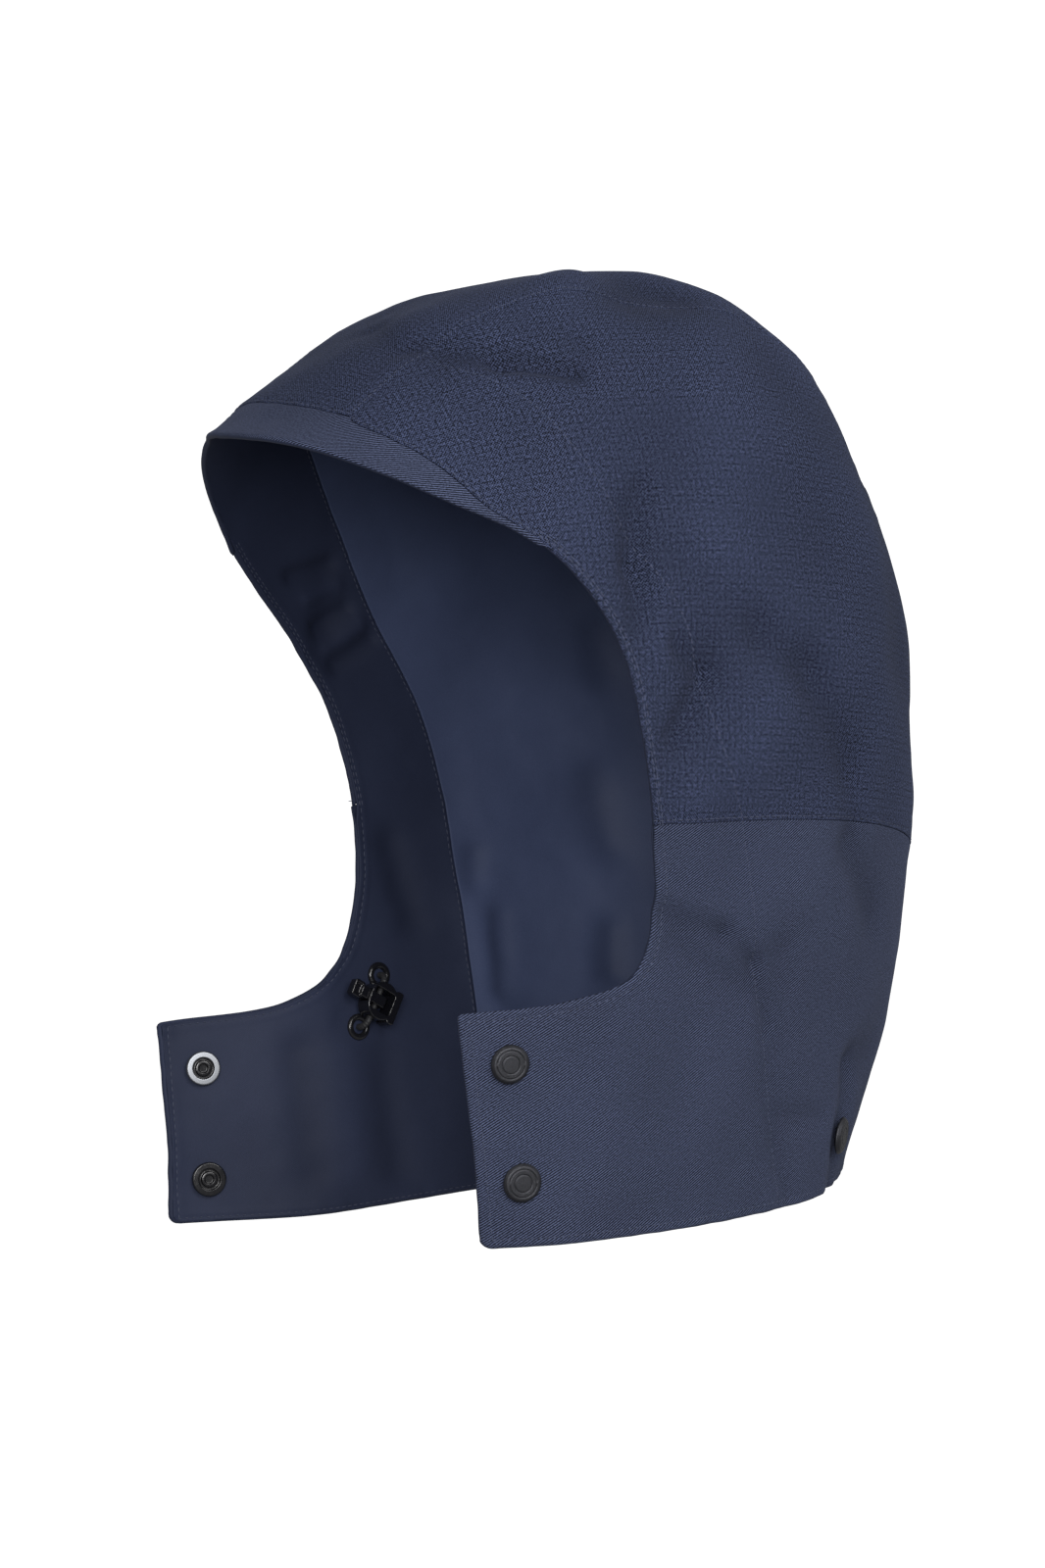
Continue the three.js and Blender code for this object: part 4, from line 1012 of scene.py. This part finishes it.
def neck_columns(side, foot=True):
    """Tops and hem points of the neck's columns on one side, from the crown seam to the flap's corner."""
    shares = np.linspace(1, 0, 50)
    strip = np.linspace(1, 0, 30)[1:]
    stations = JAW + (FLAP_CORNER - JAW) * (1 - np.linspace(1, 0, 70)[1:] ** 2)
    top = np.concatenate([behind_point(side, JAW, shares), strip_point(side, JAW, strip),
                          strip_point(side, stations, 0.0)])
    hem = np.concatenate([HEM_SHARE_CROWN + (HEM_SHARE_SEAM - HEM_SHARE_CROWN) * (1 - shares),
                          neck_column_share(side, strip), read(FLAP_HEM, "station", "share", stations)])
    seam_length = len(shares) + len(strip)
    free = smooth((np.arange(len(top)) - seam_length + 1) / 4)
    return top, hem_point(side, hem), free


def corner_inset(line, radius):
    """How much further a border is drawn in near the end of a line, so that the corner there is round."""
    away = np.linalg.norm(line - line[-1], axis=-1)
    near = np.clip(radius - away, 0, radius)
    return radius - np.sqrt(radius * radius - near * near)


def neck_panel():
    u = np.linspace(-1, 1, 40)[1:-1]
    nape_low = [hem_point("left" if x > 0 else "right", HEM_SHARE_CROWN * abs(x)) for x in u]
    nape = crown_point(u * crown_half(NECK_TURN), np.full(u.shape, NECK_TURN))
    left, right = neck_columns("left"), neck_columns("right")
    top = np.concatenate([left[0][::-1], nape[::-1], right[0]])
    low = np.concatenate([left[1][::-1], np.array(nape_low)[::-1], right[1]])
    free = np.concatenate([left[2][::-1], 0 * u, right[2]])
    round_low = corner_inset(low, FOOT_ROUND) + corner_inset(low[::-1], FOOT_ROUND)[::-1]
    round_top = corner_inset(top, TOP_ROUND) + corner_inset(top[::-1], TOP_ROUND)[::-1]
    grid = between(low, top, np.linspace(0, 1, 60))
    grid = respace(grid, 0, FREE_INSET + round_low,
                   SEAM_INSET + (FREE_INSET - SEAM_INSET) * free + round_top)
    marked = np.concatenate([grid, np.broadcast_to(free[None, :, None], grid.shape[:2] + (1,))], -1)
    grid = respace(marked, 1, FREE_INSET, FREE_INSET)
    free = np.zeros(grid.shape[:2])
    free[-1], free[0], free[:, 0], free[:, -1] = grid[-1, :, 3], 1, 1, 1
    return grid[..., :3], free


def crown_up(p):
    return -p[:, 1]


crown_relief = relief_of("crown_seam_left", "crown_seam_right", "band_seam", "neck_seam")
outer_cloth("crown_panel", *crown_panel(BAND_WIDTH / CORNER_STRIP, SEAM_INSET, SEAM_INSET), crown_relief,
            cloths["canvas"], crown_up)
outer_cloth("peak_band", *peak_band(), relief_of(plain=["band_seam"]), cloths["twill"], crown_up)
neck_lines = [line + side for line in ("front_", "throat_", "facing_line_") for side in SIDES]
outer_cloth("neck_panel", *neck_panel(), relief_of("hem", *neck_lines, plain=["neck_seam"]), cloths["twill"])

# %% [markdown]
# ## Facing and lining
#
# The facing runs round the whole opening and down both flaps; the lining hangs behind it in three pieces.
# They lie under the outer cloth, so they may only fold inwards. Their stitches show from inside.


# %% Facing
def facing():
    shares = np.linspace(0, 1, 30)
    station = np.linspace(JAW, 0, 140)[:, None]
    ends = [strip_point(side, station, shares[None]) for side in SIDES]
    middle = crown_strip(np.linspace(1, -1, 60)[:, None], shares[None])
    grid = np.concatenate([ends[0][:-1], middle, ends[1][::-1][1:]])
    grid = respace(grid, 1, FREE_INSET, SEAM_INSET)
    grid = respace(grid, 0, 0, 0)
    grids, frees = [grid], [np.zeros(grid.shape[:2])]
    for side, top in (("left", grid[0][::-1]), ("right", grid[-1][::-1])):
        travel = np.linalg.norm(top - top[-1], axis=-1) / strip_length(side, JAW)
        stations = JAW + (FLAP_CORNER - JAW) * (1 - np.linspace(1, 0, 60)[1:] ** 2)
        tops = np.concatenate([top, strip_point(side, stations, 0.0)])
        hem = np.concatenate([neck_column_share(side, travel), read(FLAP_HEM, "station", "share", stations)])
        joined = np.arange(len(tops)) < len(top)
        low = hem_point(side, hem)
        flap = between(low, tops, np.linspace(0, 1, 50))
        flap = respace(flap, 0, FREE_INSET + corner_inset(low, FOOT_ROUND),
                       np.where(joined, 0.0, FREE_INSET + corner_inset(tops, TOP_ROUND)))
        loose_part = respace(flap[:, len(top) - 1:], 1, 0, FREE_INSET)
        flap = np.concatenate([flap[:, :len(top)], loose_part[:, 1:]], 1)
        grids.append(flap)
        frees.append(np.zeros(flap.shape[:2]))
    return grids, frees


FACING_LINES = [line + side for line in ("face_", "throat_", "front_", "facing_line_") for side in SIDES]
inner_cloth("front_facing", *facing(), relief_of("hem", *FACING_LINES, inside=True), cloths["facing"])


# %% Lining
def side_lining(side):
    shares = np.linspace(0, 1, 60)
    station = np.linspace(0, JAW, 120)
    grid = behind_point(side, station[:, None], shares[None])
    low = hem_point(side, HEM_SHARE_SEAM + (HEM_SHARE_CROWN - HEM_SHARE_SEAM) * shares)
    grid = np.concatenate([grid, between(grid[-1], low, np.linspace(0, 1, 40))[1:]])
    grid = respace(grid, 1, SEAM_INSET, SEAM_INSET)
    grid = respace(grid, 0, SEAM_INSET, FREE_INSET)
    return grid, np.zeros(grid.shape[:2])


HANG_SWING, HANG_FADE = 0.55, 18


def hanging(p):
    """Soft folds of the loose lining, inwards only, held at its seams."""
    free_of_seams = 1.0
    for line in ("facing_line_left", "hem", "facing_line_right"):
        free_of_seams = free_of_seams * smooth(LINES[line].near(p)[0] / HANG_FADE)
    return (1.0 + HANG_SWING * np.clip(lining_slack(p), -1.6, 1.6)) * free_of_seams


for side in SIDES:
    grid, free = side_lining(side)
    inner_cloth("lining_" + side, [grid], [free], relief_of(plain=["crown_seam_" + side], inside=True),
                cloths["lining"], dent=hanging)
grid, free = crown_panel(1, FREE_INSET, SEAM_INSET, down_to_hem=True)
inner_cloth("lining_crown", [grid], [free],
            relief_of(plain=["crown_seam_left", "crown_seam_right"], inside=True),
            cloths["lining"], crown_up, hanging)

# %% [markdown]
# ## Stitches
#
# Every seam is held by thread, a short stitch every three millimetres. They could be modelled one by one,
# but a node tree repeats one stitch along any line: each row is a polyline on the cloth that carries the
# cloth's outward direction, and the tree lays a small flattened bead along it.

# %% The stitch tree
def stitch_tree():
    tree = bpy.data.node_groups.new("stitch row", "GeometryNodeTree")
    face = tree.interface
    face.new_socket("Geometry", in_out="INPUT", socket_type="NodeSocketGeometry")
    for name, kind in (("Pitch", "Float"), ("Length", "Float"), ("Width", "Float"), ("Wander", "Float"),
                       ("Seed", "Int"), ("Thread", "Material")):
        face.new_socket(name, in_out="INPUT", socket_type="NodeSocket" + kind)
    face.new_socket("Geometry", in_out="OUTPUT", socket_type="NodeSocketGeometry")
    nodes, links = tree.nodes, tree.links
    given, result = nodes.new("NodeGroupInput"), nodes.new("NodeGroupOutput")

    def add(kind, **inputs):
        node = nodes.new(kind)
        for name, value in inputs.items():
            socket = node.inputs[name.replace("_", " ")]
            if isinstance(value, bpy.types.NodeSocket):
                links.new(value, socket)
            else:
                socket.default_value = value
        return node

    curve = add("GeometryNodeMeshToCurve", Mesh=given.outputs["Geometry"])
    even = nodes.new("GeometryNodeResampleCurve")
    even.mode = "LENGTH"
    links.new(curve.outputs[0], even.inputs["Curve"])
    links.new(given.outputs["Pitch"], even.inputs["Length"])
    bead = add("GeometryNodeMeshUVSphere", Segments=8, Rings=5, Radius=0.5)
    size = add("ShaderNodeCombineXYZ", X=given.outputs["Length"], Y=given.outputs["Width"],
               Z=given.outputs["Width"])
    formed = add("GeometryNodeTransform", Geometry=bead.outputs["Mesh"], Scale=size.outputs[0])
    out = nodes.new("GeometryNodeInputNamedAttribute")
    out.data_type = "FLOAT_VECTOR"
    out.inputs["Name"].default_value = "out"
    along = nodes.new("GeometryNodeInputTangent")
    turn = nodes.new("FunctionNodeAxesToRotation")
    turn.primary_axis, turn.secondary_axis = "Z", "X"
    links.new(out.outputs["Attribute"], turn.inputs[0])
    links.new(along.outputs[0], turn.inputs[1])
    laid = add("GeometryNodeInstanceOnPoints", Points=even.outputs[0], Instance=formed.outputs[0],
               Rotation=turn.outputs[0])
    low = add("ShaderNodeMath", Value=given.outputs["Wander"])
    low.operation = "MULTIPLY"
    low.inputs[1].default_value = -1.0
    wander = nodes.new("FunctionNodeRandomValue")
    wander.data_type = "FLOAT"
    links.new(low.outputs[0], wander.inputs["Min"])
    links.new(given.outputs["Wander"], wander.inputs["Max"])
    links.new(given.outputs["Seed"], wander.inputs["Seed"])
    twist = nodes.new("ShaderNodeCombineXYZ")
    links.new(wander.outputs[1], twist.inputs["Z"])
    turned = add("GeometryNodeRotateInstances", Instances=laid.outputs[0], Rotation=twist.outputs[0])
    real = add("GeometryNodeRealizeInstances", Geometry=turned.outputs[0])
    threaded = add("GeometryNodeSetMaterial", Geometry=real.outputs[0], Material=given.outputs["Thread"])
    links.new(threaded.outputs[0], result.inputs[0])
    return tree


STITCH_TREE = stitch_tree()
print("The stitch tree has", len(STITCH_TREE.nodes), "nodes")


def applied(made, name):
    """Bakes an object's modifiers into a mesh of its own."""
    graph = bpy.context.evaluated_depsgraph_get()
    mesh = bpy.data.meshes.new_from_object(made.evaluated_get(graph))
    bpy.data.objects.remove(made)
    mesh.name = name
    result = bpy.data.objects.new(name, mesh)
    bpy.context.collection.objects.link(result)
    return result


# %% Rows of stitches
STITCH_PITCH, STITCH_LENGTH, STITCH_WIDTH, STITCH_WANDER = 3.0, 2.3, 0.42, 0.06
THREAD_STANDS = 0.04


def shifted(line, aside, toward, trim):
    """A line moved `aside` millimetres over the cloth, and cut short at its ends."""
    place, travel = dense(line, 0.7)
    along = np.gradient(place, axis=0)
    over = unit(np.cross(outward(place), along))
    over *= np.sign((over @ np.array(toward)).mean())
    keep = (travel >= trim[0]) & (travel <= travel[-1] - trim[1])
    return onto_form(place + over * aside)[keep]


def row(line, aside, toward, trim=(0, 0), inside=False):
    return dict(line=line, aside=aside, toward=toward, trim=trim, inside=inside)


def stitch_rows(name, rows, depth, relief, finish, seed):
    """All rows of one panel as polylines, run through the stitch tree."""
    vertices, edges, out = [], [], []
    for entry in rows:
        place = shifted(LINE_POINTS[entry["line"]], entry["aside"], entry["toward"], entry["trim"])
        base = len(vertices)
        side = -1.0 if entry["inside"] else 1.0
        vertices += metres(skin(place, depth, relief(place))).tolist()
        out += (side * outward(place)).tolist()
        edges += [(k, k + 1) for k in range(base, base + len(place) - 1)]
    mesh = bpy.data.meshes.new(name)
    mesh.from_pydata(vertices, edges, [])
    layer = mesh.attributes.new("out", "FLOAT_VECTOR", "POINT")
    layer.data.foreach_set("vector", np.array(out, np.float32).ravel())
    made = bpy.data.objects.new(name + "_line", mesh)
    bpy.context.collection.objects.link(made)
    modifier = made.modifiers.new("stitches", "NODES")
    modifier.node_group = STITCH_TREE
    values = dict(Pitch=STITCH_PITCH * MM, Length=STITCH_LENGTH * MM, Width=STITCH_WIDTH * MM,
                  Wander=STITCH_WANDER, Seed=seed, Thread=finish)
    for item in STITCH_TREE.interface.items_tree:
        if item.item_type == "SOCKET" and item.in_out == "INPUT" and item.name in values:
            modifier[item.identifier] = values[item.name]
    result = applied(made, name)
    result.data.shade_smooth()
    print(name, len(result.data.polygons), "faces")
    return result


def thread(name, color):
    net = Net(name, Base_Color=(*color, 1), Roughness=0.6, Specular_IOR_Level=0.3)
    strands = net.math("SINE", net.math("MULTIPLY", net.noise(net.place(), 1500.0), 9.0))
    net.bump(strands, 0.05 * MM)
    return net.material


outer_thread = thread("outer thread", (0.052, 0.062, 0.105))
inner_thread = thread("inner thread", (0.05, 0.057, 0.09))
BACK, UP, DOWN = (0, 1, 0), (0, 0, 1), (0, 0.3, -1)
HEM_ROW, INNER_ROW, SEAM_ROW = 3.3, 2.2, 1.5
outer_rows, inner_rows = {}, []
for side in SIDES:
    outer_rows["side_panel_" + side] = [
        row("face_" + side, 2.0, BACK), row("face_" + side, HEM_ROW, BACK),
        row("facing_side_" + side, 0.0, BACK, (3, 0)), row("neck_side_" + side, SEAM_ROW, UP),
        row("band_side_" + side, 1.2, BACK),
    ]
    inner_rows += [
        row("face_" + side, 2.0, BACK, inside=True), row("face_" + side, HEM_ROW, BACK, inside=True),
        row("throat_" + side, INNER_ROW, DOWN, (0, INNER_ROW), inside=True),
        row("front_" + side, INNER_ROW, BACK, (INNER_ROW, INNER_ROW), inside=True),
        row("facing_line_" + side, SEAM_ROW, (0, -1, 0), (3, 3), inside=True),
    ]
inner_rows.append(row("hem", INNER_ROW, UP, (INNER_ROW, INNER_ROW), inside=True))
outer_rows["crown_panel"] = [
    row("crown_seam_left", SEAM_ROW, (-1, 0, 0)), row("crown_seam_right", SEAM_ROW, (1, 0, 0)),
    row("nape_seam", SEAM_ROW, UP, (1.5, 1.5)), row("band_crown", 1.2, BACK, (1.5, 1.5)),
]
outer_rows["neck_panel"] = [row("hem", HEM_ROW, UP, (HEM_ROW, HEM_ROW))] + [
    entry for side in SIDES for entry in (
        row("throat_" + side, HEM_ROW, DOWN, (0, HEM_ROW)),
        row("front_" + side, HEM_ROW, BACK, (HEM_ROW, HEM_ROW)),
        row("facing_low_" + side, 0.0, BACK, (0, 3)))
]
stitched = {}
for seed, (name, rows) in enumerate(outer_rows.items()):
    stitched[name] = stitch_rows("stitches_" + name, rows, -THREAD_STANDS, RELIEFS[name], outer_thread,
                                 seed)
stitched["front_facing"] = stitch_rows("stitches_front_facing", inner_rows, INSIDE_DEPTH + THREAD_STANDS,
                                       RELIEFS["front_facing"], inner_thread, 9)

# %% [markdown]
# ## Press studs and eyelets
#
# These are turned parts, so each is a fine profile spun round its axis. Where a stud sits comes from its
# own solid: the middle of its points, and the direction in which they spread least.


# %% Where the turned parts sit
def seat_of(name, way):
    """Foot and axes of a turned solid. `way` is 1 for a part outside the hood, -1 for one inside."""
    co = np.array([v.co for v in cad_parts[name].data.vertices])
    centre = co.mean(0)
    axis = np.linalg.svd(co - centre, full_matrices=False)[2][2]
    out = outward(centre / MM + ORIGIN) * way
    axis = axis if axis @ out > 0 else -axis
    upright = unit(np.array([0, 0, 1.0]) - axis * axis[2])
    foot = centre + axis * ((co - centre) @ axis).min()
    return foot, np.stack([np.cross(upright, axis), upright, axis])


def ring_faces(rings, sides):
    """Faces between rings of `sides` points that follow one another."""
    faces = []
    for k in range(rings - 1):
        for i in range(sides):
            j = (i + 1) % sides
            faces.append((k * sides + i, k * sides + j, (k + 1) * sides + j, (k + 1) * sides + i))
    return faces


def turned(name, profile, seat, sides, finish, cut=None, dark=None):
    """A profile of radius and height in millimetres, spun round the seat's axis. `dark` is the finish of the
    faces inside a radius."""
    foot, axes = seat
    angle = 2 * np.pi * np.arange(sides) / sides
    vertices = []
    for radius, height in profile:
        high = height + (cut(radius, angle) if cut else 0 * angle)
        local = np.stack([radius * np.cos(angle), radius * np.sin(angle), high], -1)
        vertices.append(foot + local @ axes * MM)
    faces = ring_faces(len(profile), sides)
    made = mesh_object(name, np.concatenate(vertices), faces, finish=finish)
    if dark:
        made.data.materials.append(dark[0])
        for face in made.data.polygons:
            face.material_index = int(profile[face.index // sides][0] < dark[1])
    return made


def rounded(corners, radius, step=0.25):
    """A profile through corners, each corner rounded and each run cut into short steps."""
    path = [np.array(corners[0], float)]
    for before, here, after in zip(corners[:-2], corners[1:-1], corners[2:]):
        before, here, after = (np.array(p, float) for p in (before, here, after))
        cut = min(radius, 0.45 * np.linalg.norm(here - before), 0.45 * np.linalg.norm(after - here))
        start, end = here + unit(before - here) * cut, here + unit(after - here) * cut
        for t in np.linspace(0, 1, 5):
            path.append((1 - t) ** 2 * start + 2 * t * (1 - t) * here + t * t * end)
    path.append(np.array(corners[-1], float))
    fine = [path[0]]
    for a, b in zip(path[:-1], path[1:]):
        pieces_needed = max(int(np.ceil(np.linalg.norm(b - a) / step)), 1)
        fine += [a + (b - a) * k / pieces_needed for k in range(1, pieces_needed + 1)]
    return fine


# %% Caps, sockets and eyelets
RING_OUTER, RING_INNER, RING_CUT, RING_WIDTH = 5.35, 3.4, 0.34, 0.2
# Inside this radius a nickel socket takes the black finish: painted shade in its cup's groove, and the black
# also covers the centre post.
CUP_RADIUS = 4.45


def cap_rings(radius, angle):
    """Two ring grooves; the outer one stops short on the left and on the right."""
    gap_here = smooth((np.abs(np.sin(angle)) - 0.1) / 0.08)
    outer = np.exp(-((radius - RING_OUTER) / RING_WIDTH) ** 2) * gap_here
    inner = np.exp(-((radius - RING_INNER) / RING_WIDTH) ** 2)
    return -RING_CUT * np.maximum(outer, inner)


def stud_finish(name, color, metallic, roughness, grain):
    net = Net(name, Base_Color=(*color, 1), Metallic=metallic, Roughness=roughness)
    specks = net.noise(net.place(), 5200.0, 2.0)
    worn = net.noise(net.place(), 420.0, 3.0)
    net.put(net.shader.inputs["Roughness"], net.math("MULTIPLY_ADD", worn, 0.25, roughness - 0.12))
    net.bump(specks, grain)
    return net.material


studs = {"black": stud_finish("black stud", (0.05, 0.051, 0.058), 0.9, 0.4, 0.12 * MM),
         "nickel": stud_finish("nickel stud", (0.26, 0.27, 0.29), 1.0, 0.42, 0.01 * MM),
         "dark": stud_finish("black enamel stud", (0.008, 0.008, 0.010), 0.1, 0.2, 0.01 * MM)}
cap_profile = rounded([(0, 0), (6.4, 0), (7.5, 0.6), (7.5, 1.2), (6.5, 2.3), (5.9, 2.42), (0, 2.5)],
                      0.6, 0.16)
socket_profile = rounded([(0, 0), (7.0, 0), (7.0, 1.5), (6.6, 2.1), (4.5, 2.2), (4.3, 0.6), (3.3, 0.6),
                          (3.1, 1.7), (2.0, 1.8), (1.7, 0.6), (0, 0.6)], 0.25, 0.4)
eyelet_arc = np.radians(np.arange(0, 181, 12))
eyelet_profile = [(4.15 + 1.35 * math.cos(a), max(1.2 * math.sin(a), 0)) for a in eyelet_arc]
eyelet_profile += [(2.8, 0), (5.5, 0)]
for name in FITTINGS:
    if name.startswith("snap_cap"):
        pieces[name] = turned(name + "_turned", cap_profile, seat_of(name, 1), 72, studs["black"], cap_rings)
    elif name.startswith("snap_socket"):
        finish = studs["nickel"] if "upper" in name else studs["dark"]
        # Painted shade: the nickel socket's cup, inside CUP_RADIUS, gets the black finish as the shade of
        # its groove.
        pieces[name] = turned(name + "_turned", socket_profile, seat_of(name, -1), 48, finish,
                              dark=(studs["dark"], CUP_RADIUS))
    elif name.startswith("cord_eyelet"):
        pieces[name] = turned(name + "_turned", eyelet_profile, seat_of(name, -1), 40, studs["dark"])
print(len(FITTINGS), "fittings found, each turned part in its own place")

# %% [markdown]
# ## Cord locks
#
# A lock is one moulding with soft edges, and a press part that slides in it. Bevels on so many crossing
# edges would fail, so each solid is filled with a fine lattice and smoothed, which rounds every edge as a
# mould does. The cord is a braid: a tube whose surface swells where the strands cross.

# %% Moulded parts
LOCK_CELL, SMOOTH_ROUNDS = 0.26, 3
plastic = Net("lock plastic", Base_Color=(0.006, 0.006, 0.008, 1), Roughness=0.16,
              Specular_IOR_Level=0.8)
plastic.bump(plastic.noise(plastic.place(), 1900.0, 2.0), 0.02 * MM)


def moulded(name, cell, rounds):
    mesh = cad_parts[name].data.copy()
    mesh.materials.clear()
    mesh.materials.append(plastic.material)
    made = bpy.data.objects.new(name + "_rough", mesh)
    bpy.context.collection.objects.link(made)
    weld_points = made.modifiers.new("weld", "WELD")
    weld_points.merge_threshold = 0.001 * MM
    lattice = made.modifiers.new("lattice", "REMESH")
    lattice.mode, lattice.voxel_size, lattice.adaptivity = "VOXEL", cell * MM, 0.0
    lattice.use_smooth_shade = True
    soften = made.modifiers.new("soften", "SMOOTH")
    soften.factor, soften.iterations = 0.5, rounds
    return applied(made, name + "_moulded")


for side in SIDES:
    for part in ("body", "plunger"):
        name = "cord_lock_" + part + "_" + side
        pieces[name] = moulded(name, LOCK_CELL, SMOOTH_ROUNDS)

# %% Draw cords
CORD_RADIUS, EYELET_REACH, LOCK_ENTRY, CORD_AXIS = 1.42, 12.0, 8.0, 5.5
CORD_SIDES, BRAID_TWIST, BRAID_SWELL = 32, 3.2, 0.16
CORD_ROWS = table("out up", (1, 0), (1, 0.3), (0.8, 0.7), (0.35, 0.96), (0, 1))


def braided_cord(side):
    low, axes = seat_of("cord_eyelet_lower_" + side, -1)
    high, _ = seat_of("cord_eyelet_upper_" + side, -1)
    along, up = unit(high - low), axes[2]
    up = unit(up - along * (up @ along))
    half = [(-(LOCK_ENTRY + (EYELET_REACH - LOCK_ENTRY) * out), 0.3 + (CORD_AXIS - 0.3) * rise)
            for out, rise in zip(CORD_ROWS["out"], CORD_ROWS["up"])]
    path = half + [(-LOCK_ENTRY / 2, CORD_AXIS), (0, CORD_AXIS)]
    path += [(-y, z) for y, z in path[:-1][::-1]]
    bend = Curve([(0, y, z) for y, z in path])
    at = np.linspace(0, len(path) - 1, 260)
    line = bend(at)
    travel = travel_along(line)
    run = unit(np.gradient(line, axis=0))
    side_way = np.array([1.0, 0, 0])
    rise = unit(np.cross(run, side_way))
    angle = 2 * np.pi * np.arange(CORD_SIDES) / CORD_SIDES
    around, twist = 4 * angle[None], travel[:, None] * BRAID_TWIST
    strands = np.cos(around + twist) * np.cos(around - twist)
    radius = CORD_RADIUS - BRAID_SWELL + BRAID_SWELL * strands[..., None]
    local = line[:, None] + radius * (np.cos(angle)[None, :, None] * side_way
                                      + np.sin(angle)[None, :, None] * rise[:, None])
    basis = np.stack([np.cross(along, up), along, up])
    middle = (low + high) / 2
    vertices = middle + local.reshape(-1, 3) @ basis * MM
    faces = ring_faces(len(line), CORD_SIDES)
    last = (len(line) - 1) * CORD_SIDES
    faces += [tuple(range(CORD_SIDES))[::-1], tuple(range(last, last + CORD_SIDES))]
    net = Net("cord " + side, Base_Color=(0.01, 0.01, 0.012, 1), Roughness=0.6)
    print("The cord on the", side, "is", round(travel[-1], 1), "mm long")
    return mesh_object("draw_cord_" + side + "_braided", vertices, faces, finish=net.material)


for side in SIDES:
    pieces["draw_cord_" + side] = braided_cord(side)

# %% [markdown]
# ## Light and floor
#
# A soft key light stands by the camera, a wide one lights the hood's left cheek and a weak one its back,
# so the folds read and the brow stays dark. The floor is plain and pale. The cloth doesn't see it, or its
# white would fill the shadows.

# %% Lights and background
LOOK_AT = Vector(metres(points(0, -40, 170)))


def soft_light(name, turn, rise, away, size, power):
    """A round soft box. Its turn is measured like the camera's, from straight in front towards the left."""
    data = bpy.data.lights.new(name, "AREA")
    data.shape, data.size, data.energy = "DISK", size, power
    made = bpy.data.objects.new(name, data)
    turn, rise = math.radians(turn), math.radians(rise)
    way = Vector((math.sin(turn) * math.cos(rise), -math.cos(turn) * math.cos(rise), math.sin(rise)))
    made.location = LOOK_AT + way * away
    made.rotation_euler = (-way).to_track_quat("-Z", "Y").to_euler()
    bpy.context.collection.objects.link(made)


soft_light("key light", 50, 9, 1.9, 0.7, 22)
soft_light("front light", 82, 26, 2.2, 1.2, 25)
soft_light("back light", 140, 20, 2.2, 1.4, 6.5)
world = bpy.data.worlds.new("studio")
world.use_nodes = True
world.node_tree.nodes["Background"].inputs[0].default_value = (1, 1, 1, 1)
world.node_tree.nodes["Background"].inputs[1].default_value = 0.28
bpy.context.scene.world = world
bpy.context.scene.view_settings.view_transform = "Standard"

# %% Floor and backdrop
def backdrop():
    """A pale floor, level with the foot of a stand, that curves up behind the hood."""
    low, near, far, wide, bend = -0.62, -2.5, 2.6, 4.0, 1.2
    arc = [(far + bend * math.sin(a), low + bend * (1 - math.cos(a)))
           for a in np.radians(np.arange(0, 91, 6))]
    profile = [(near, low)] + arc + [(far + bend, 4.0)]
    turned = Vector((math.sin(turn), -math.cos(turn)))
    vertices = []
    for run, height in profile:
        for across in (-wide, wide):
            back = -run * turned + across * Vector((turned.y, -turned.x))
            vertices.append((back.x, back.y, height))
    faces = [(2 * k, 2 * k + 1, 2 * k + 3, 2 * k + 2) for k in range(len(profile) - 1)]
    net = Net("backdrop", Base_Color=(0.9, 0.9, 0.9, 1), Roughness=0.9, Emission_Color=(1, 1, 1, 1))
    net.shader.inputs["Emission Strength"].default_value = 0.8
    return mesh_object("backdrop", vertices, faces, finish=net.material)


sweep = backdrop()
sweep.visible_diffuse = sweep.visible_glossy = False

# %% [markdown]
# ## Placing the pieces
#
# Each piece rides a body of the frame and replaces its own solid. The flat size each cloth was
# cut from is printed.

# %% Rides and sheets
for name, piece in pieces.items():
    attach(piece, name.replace("cord_lock_", "") if "plunger" in name else "root")
    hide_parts(name)
for piece in stitched.values():
    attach(piece, "root")
for name, (width, length, area) in SHEETS.items():
    print(name, "hangs as a sheet of", round(width, 3), "by", round(length, 3), "m")
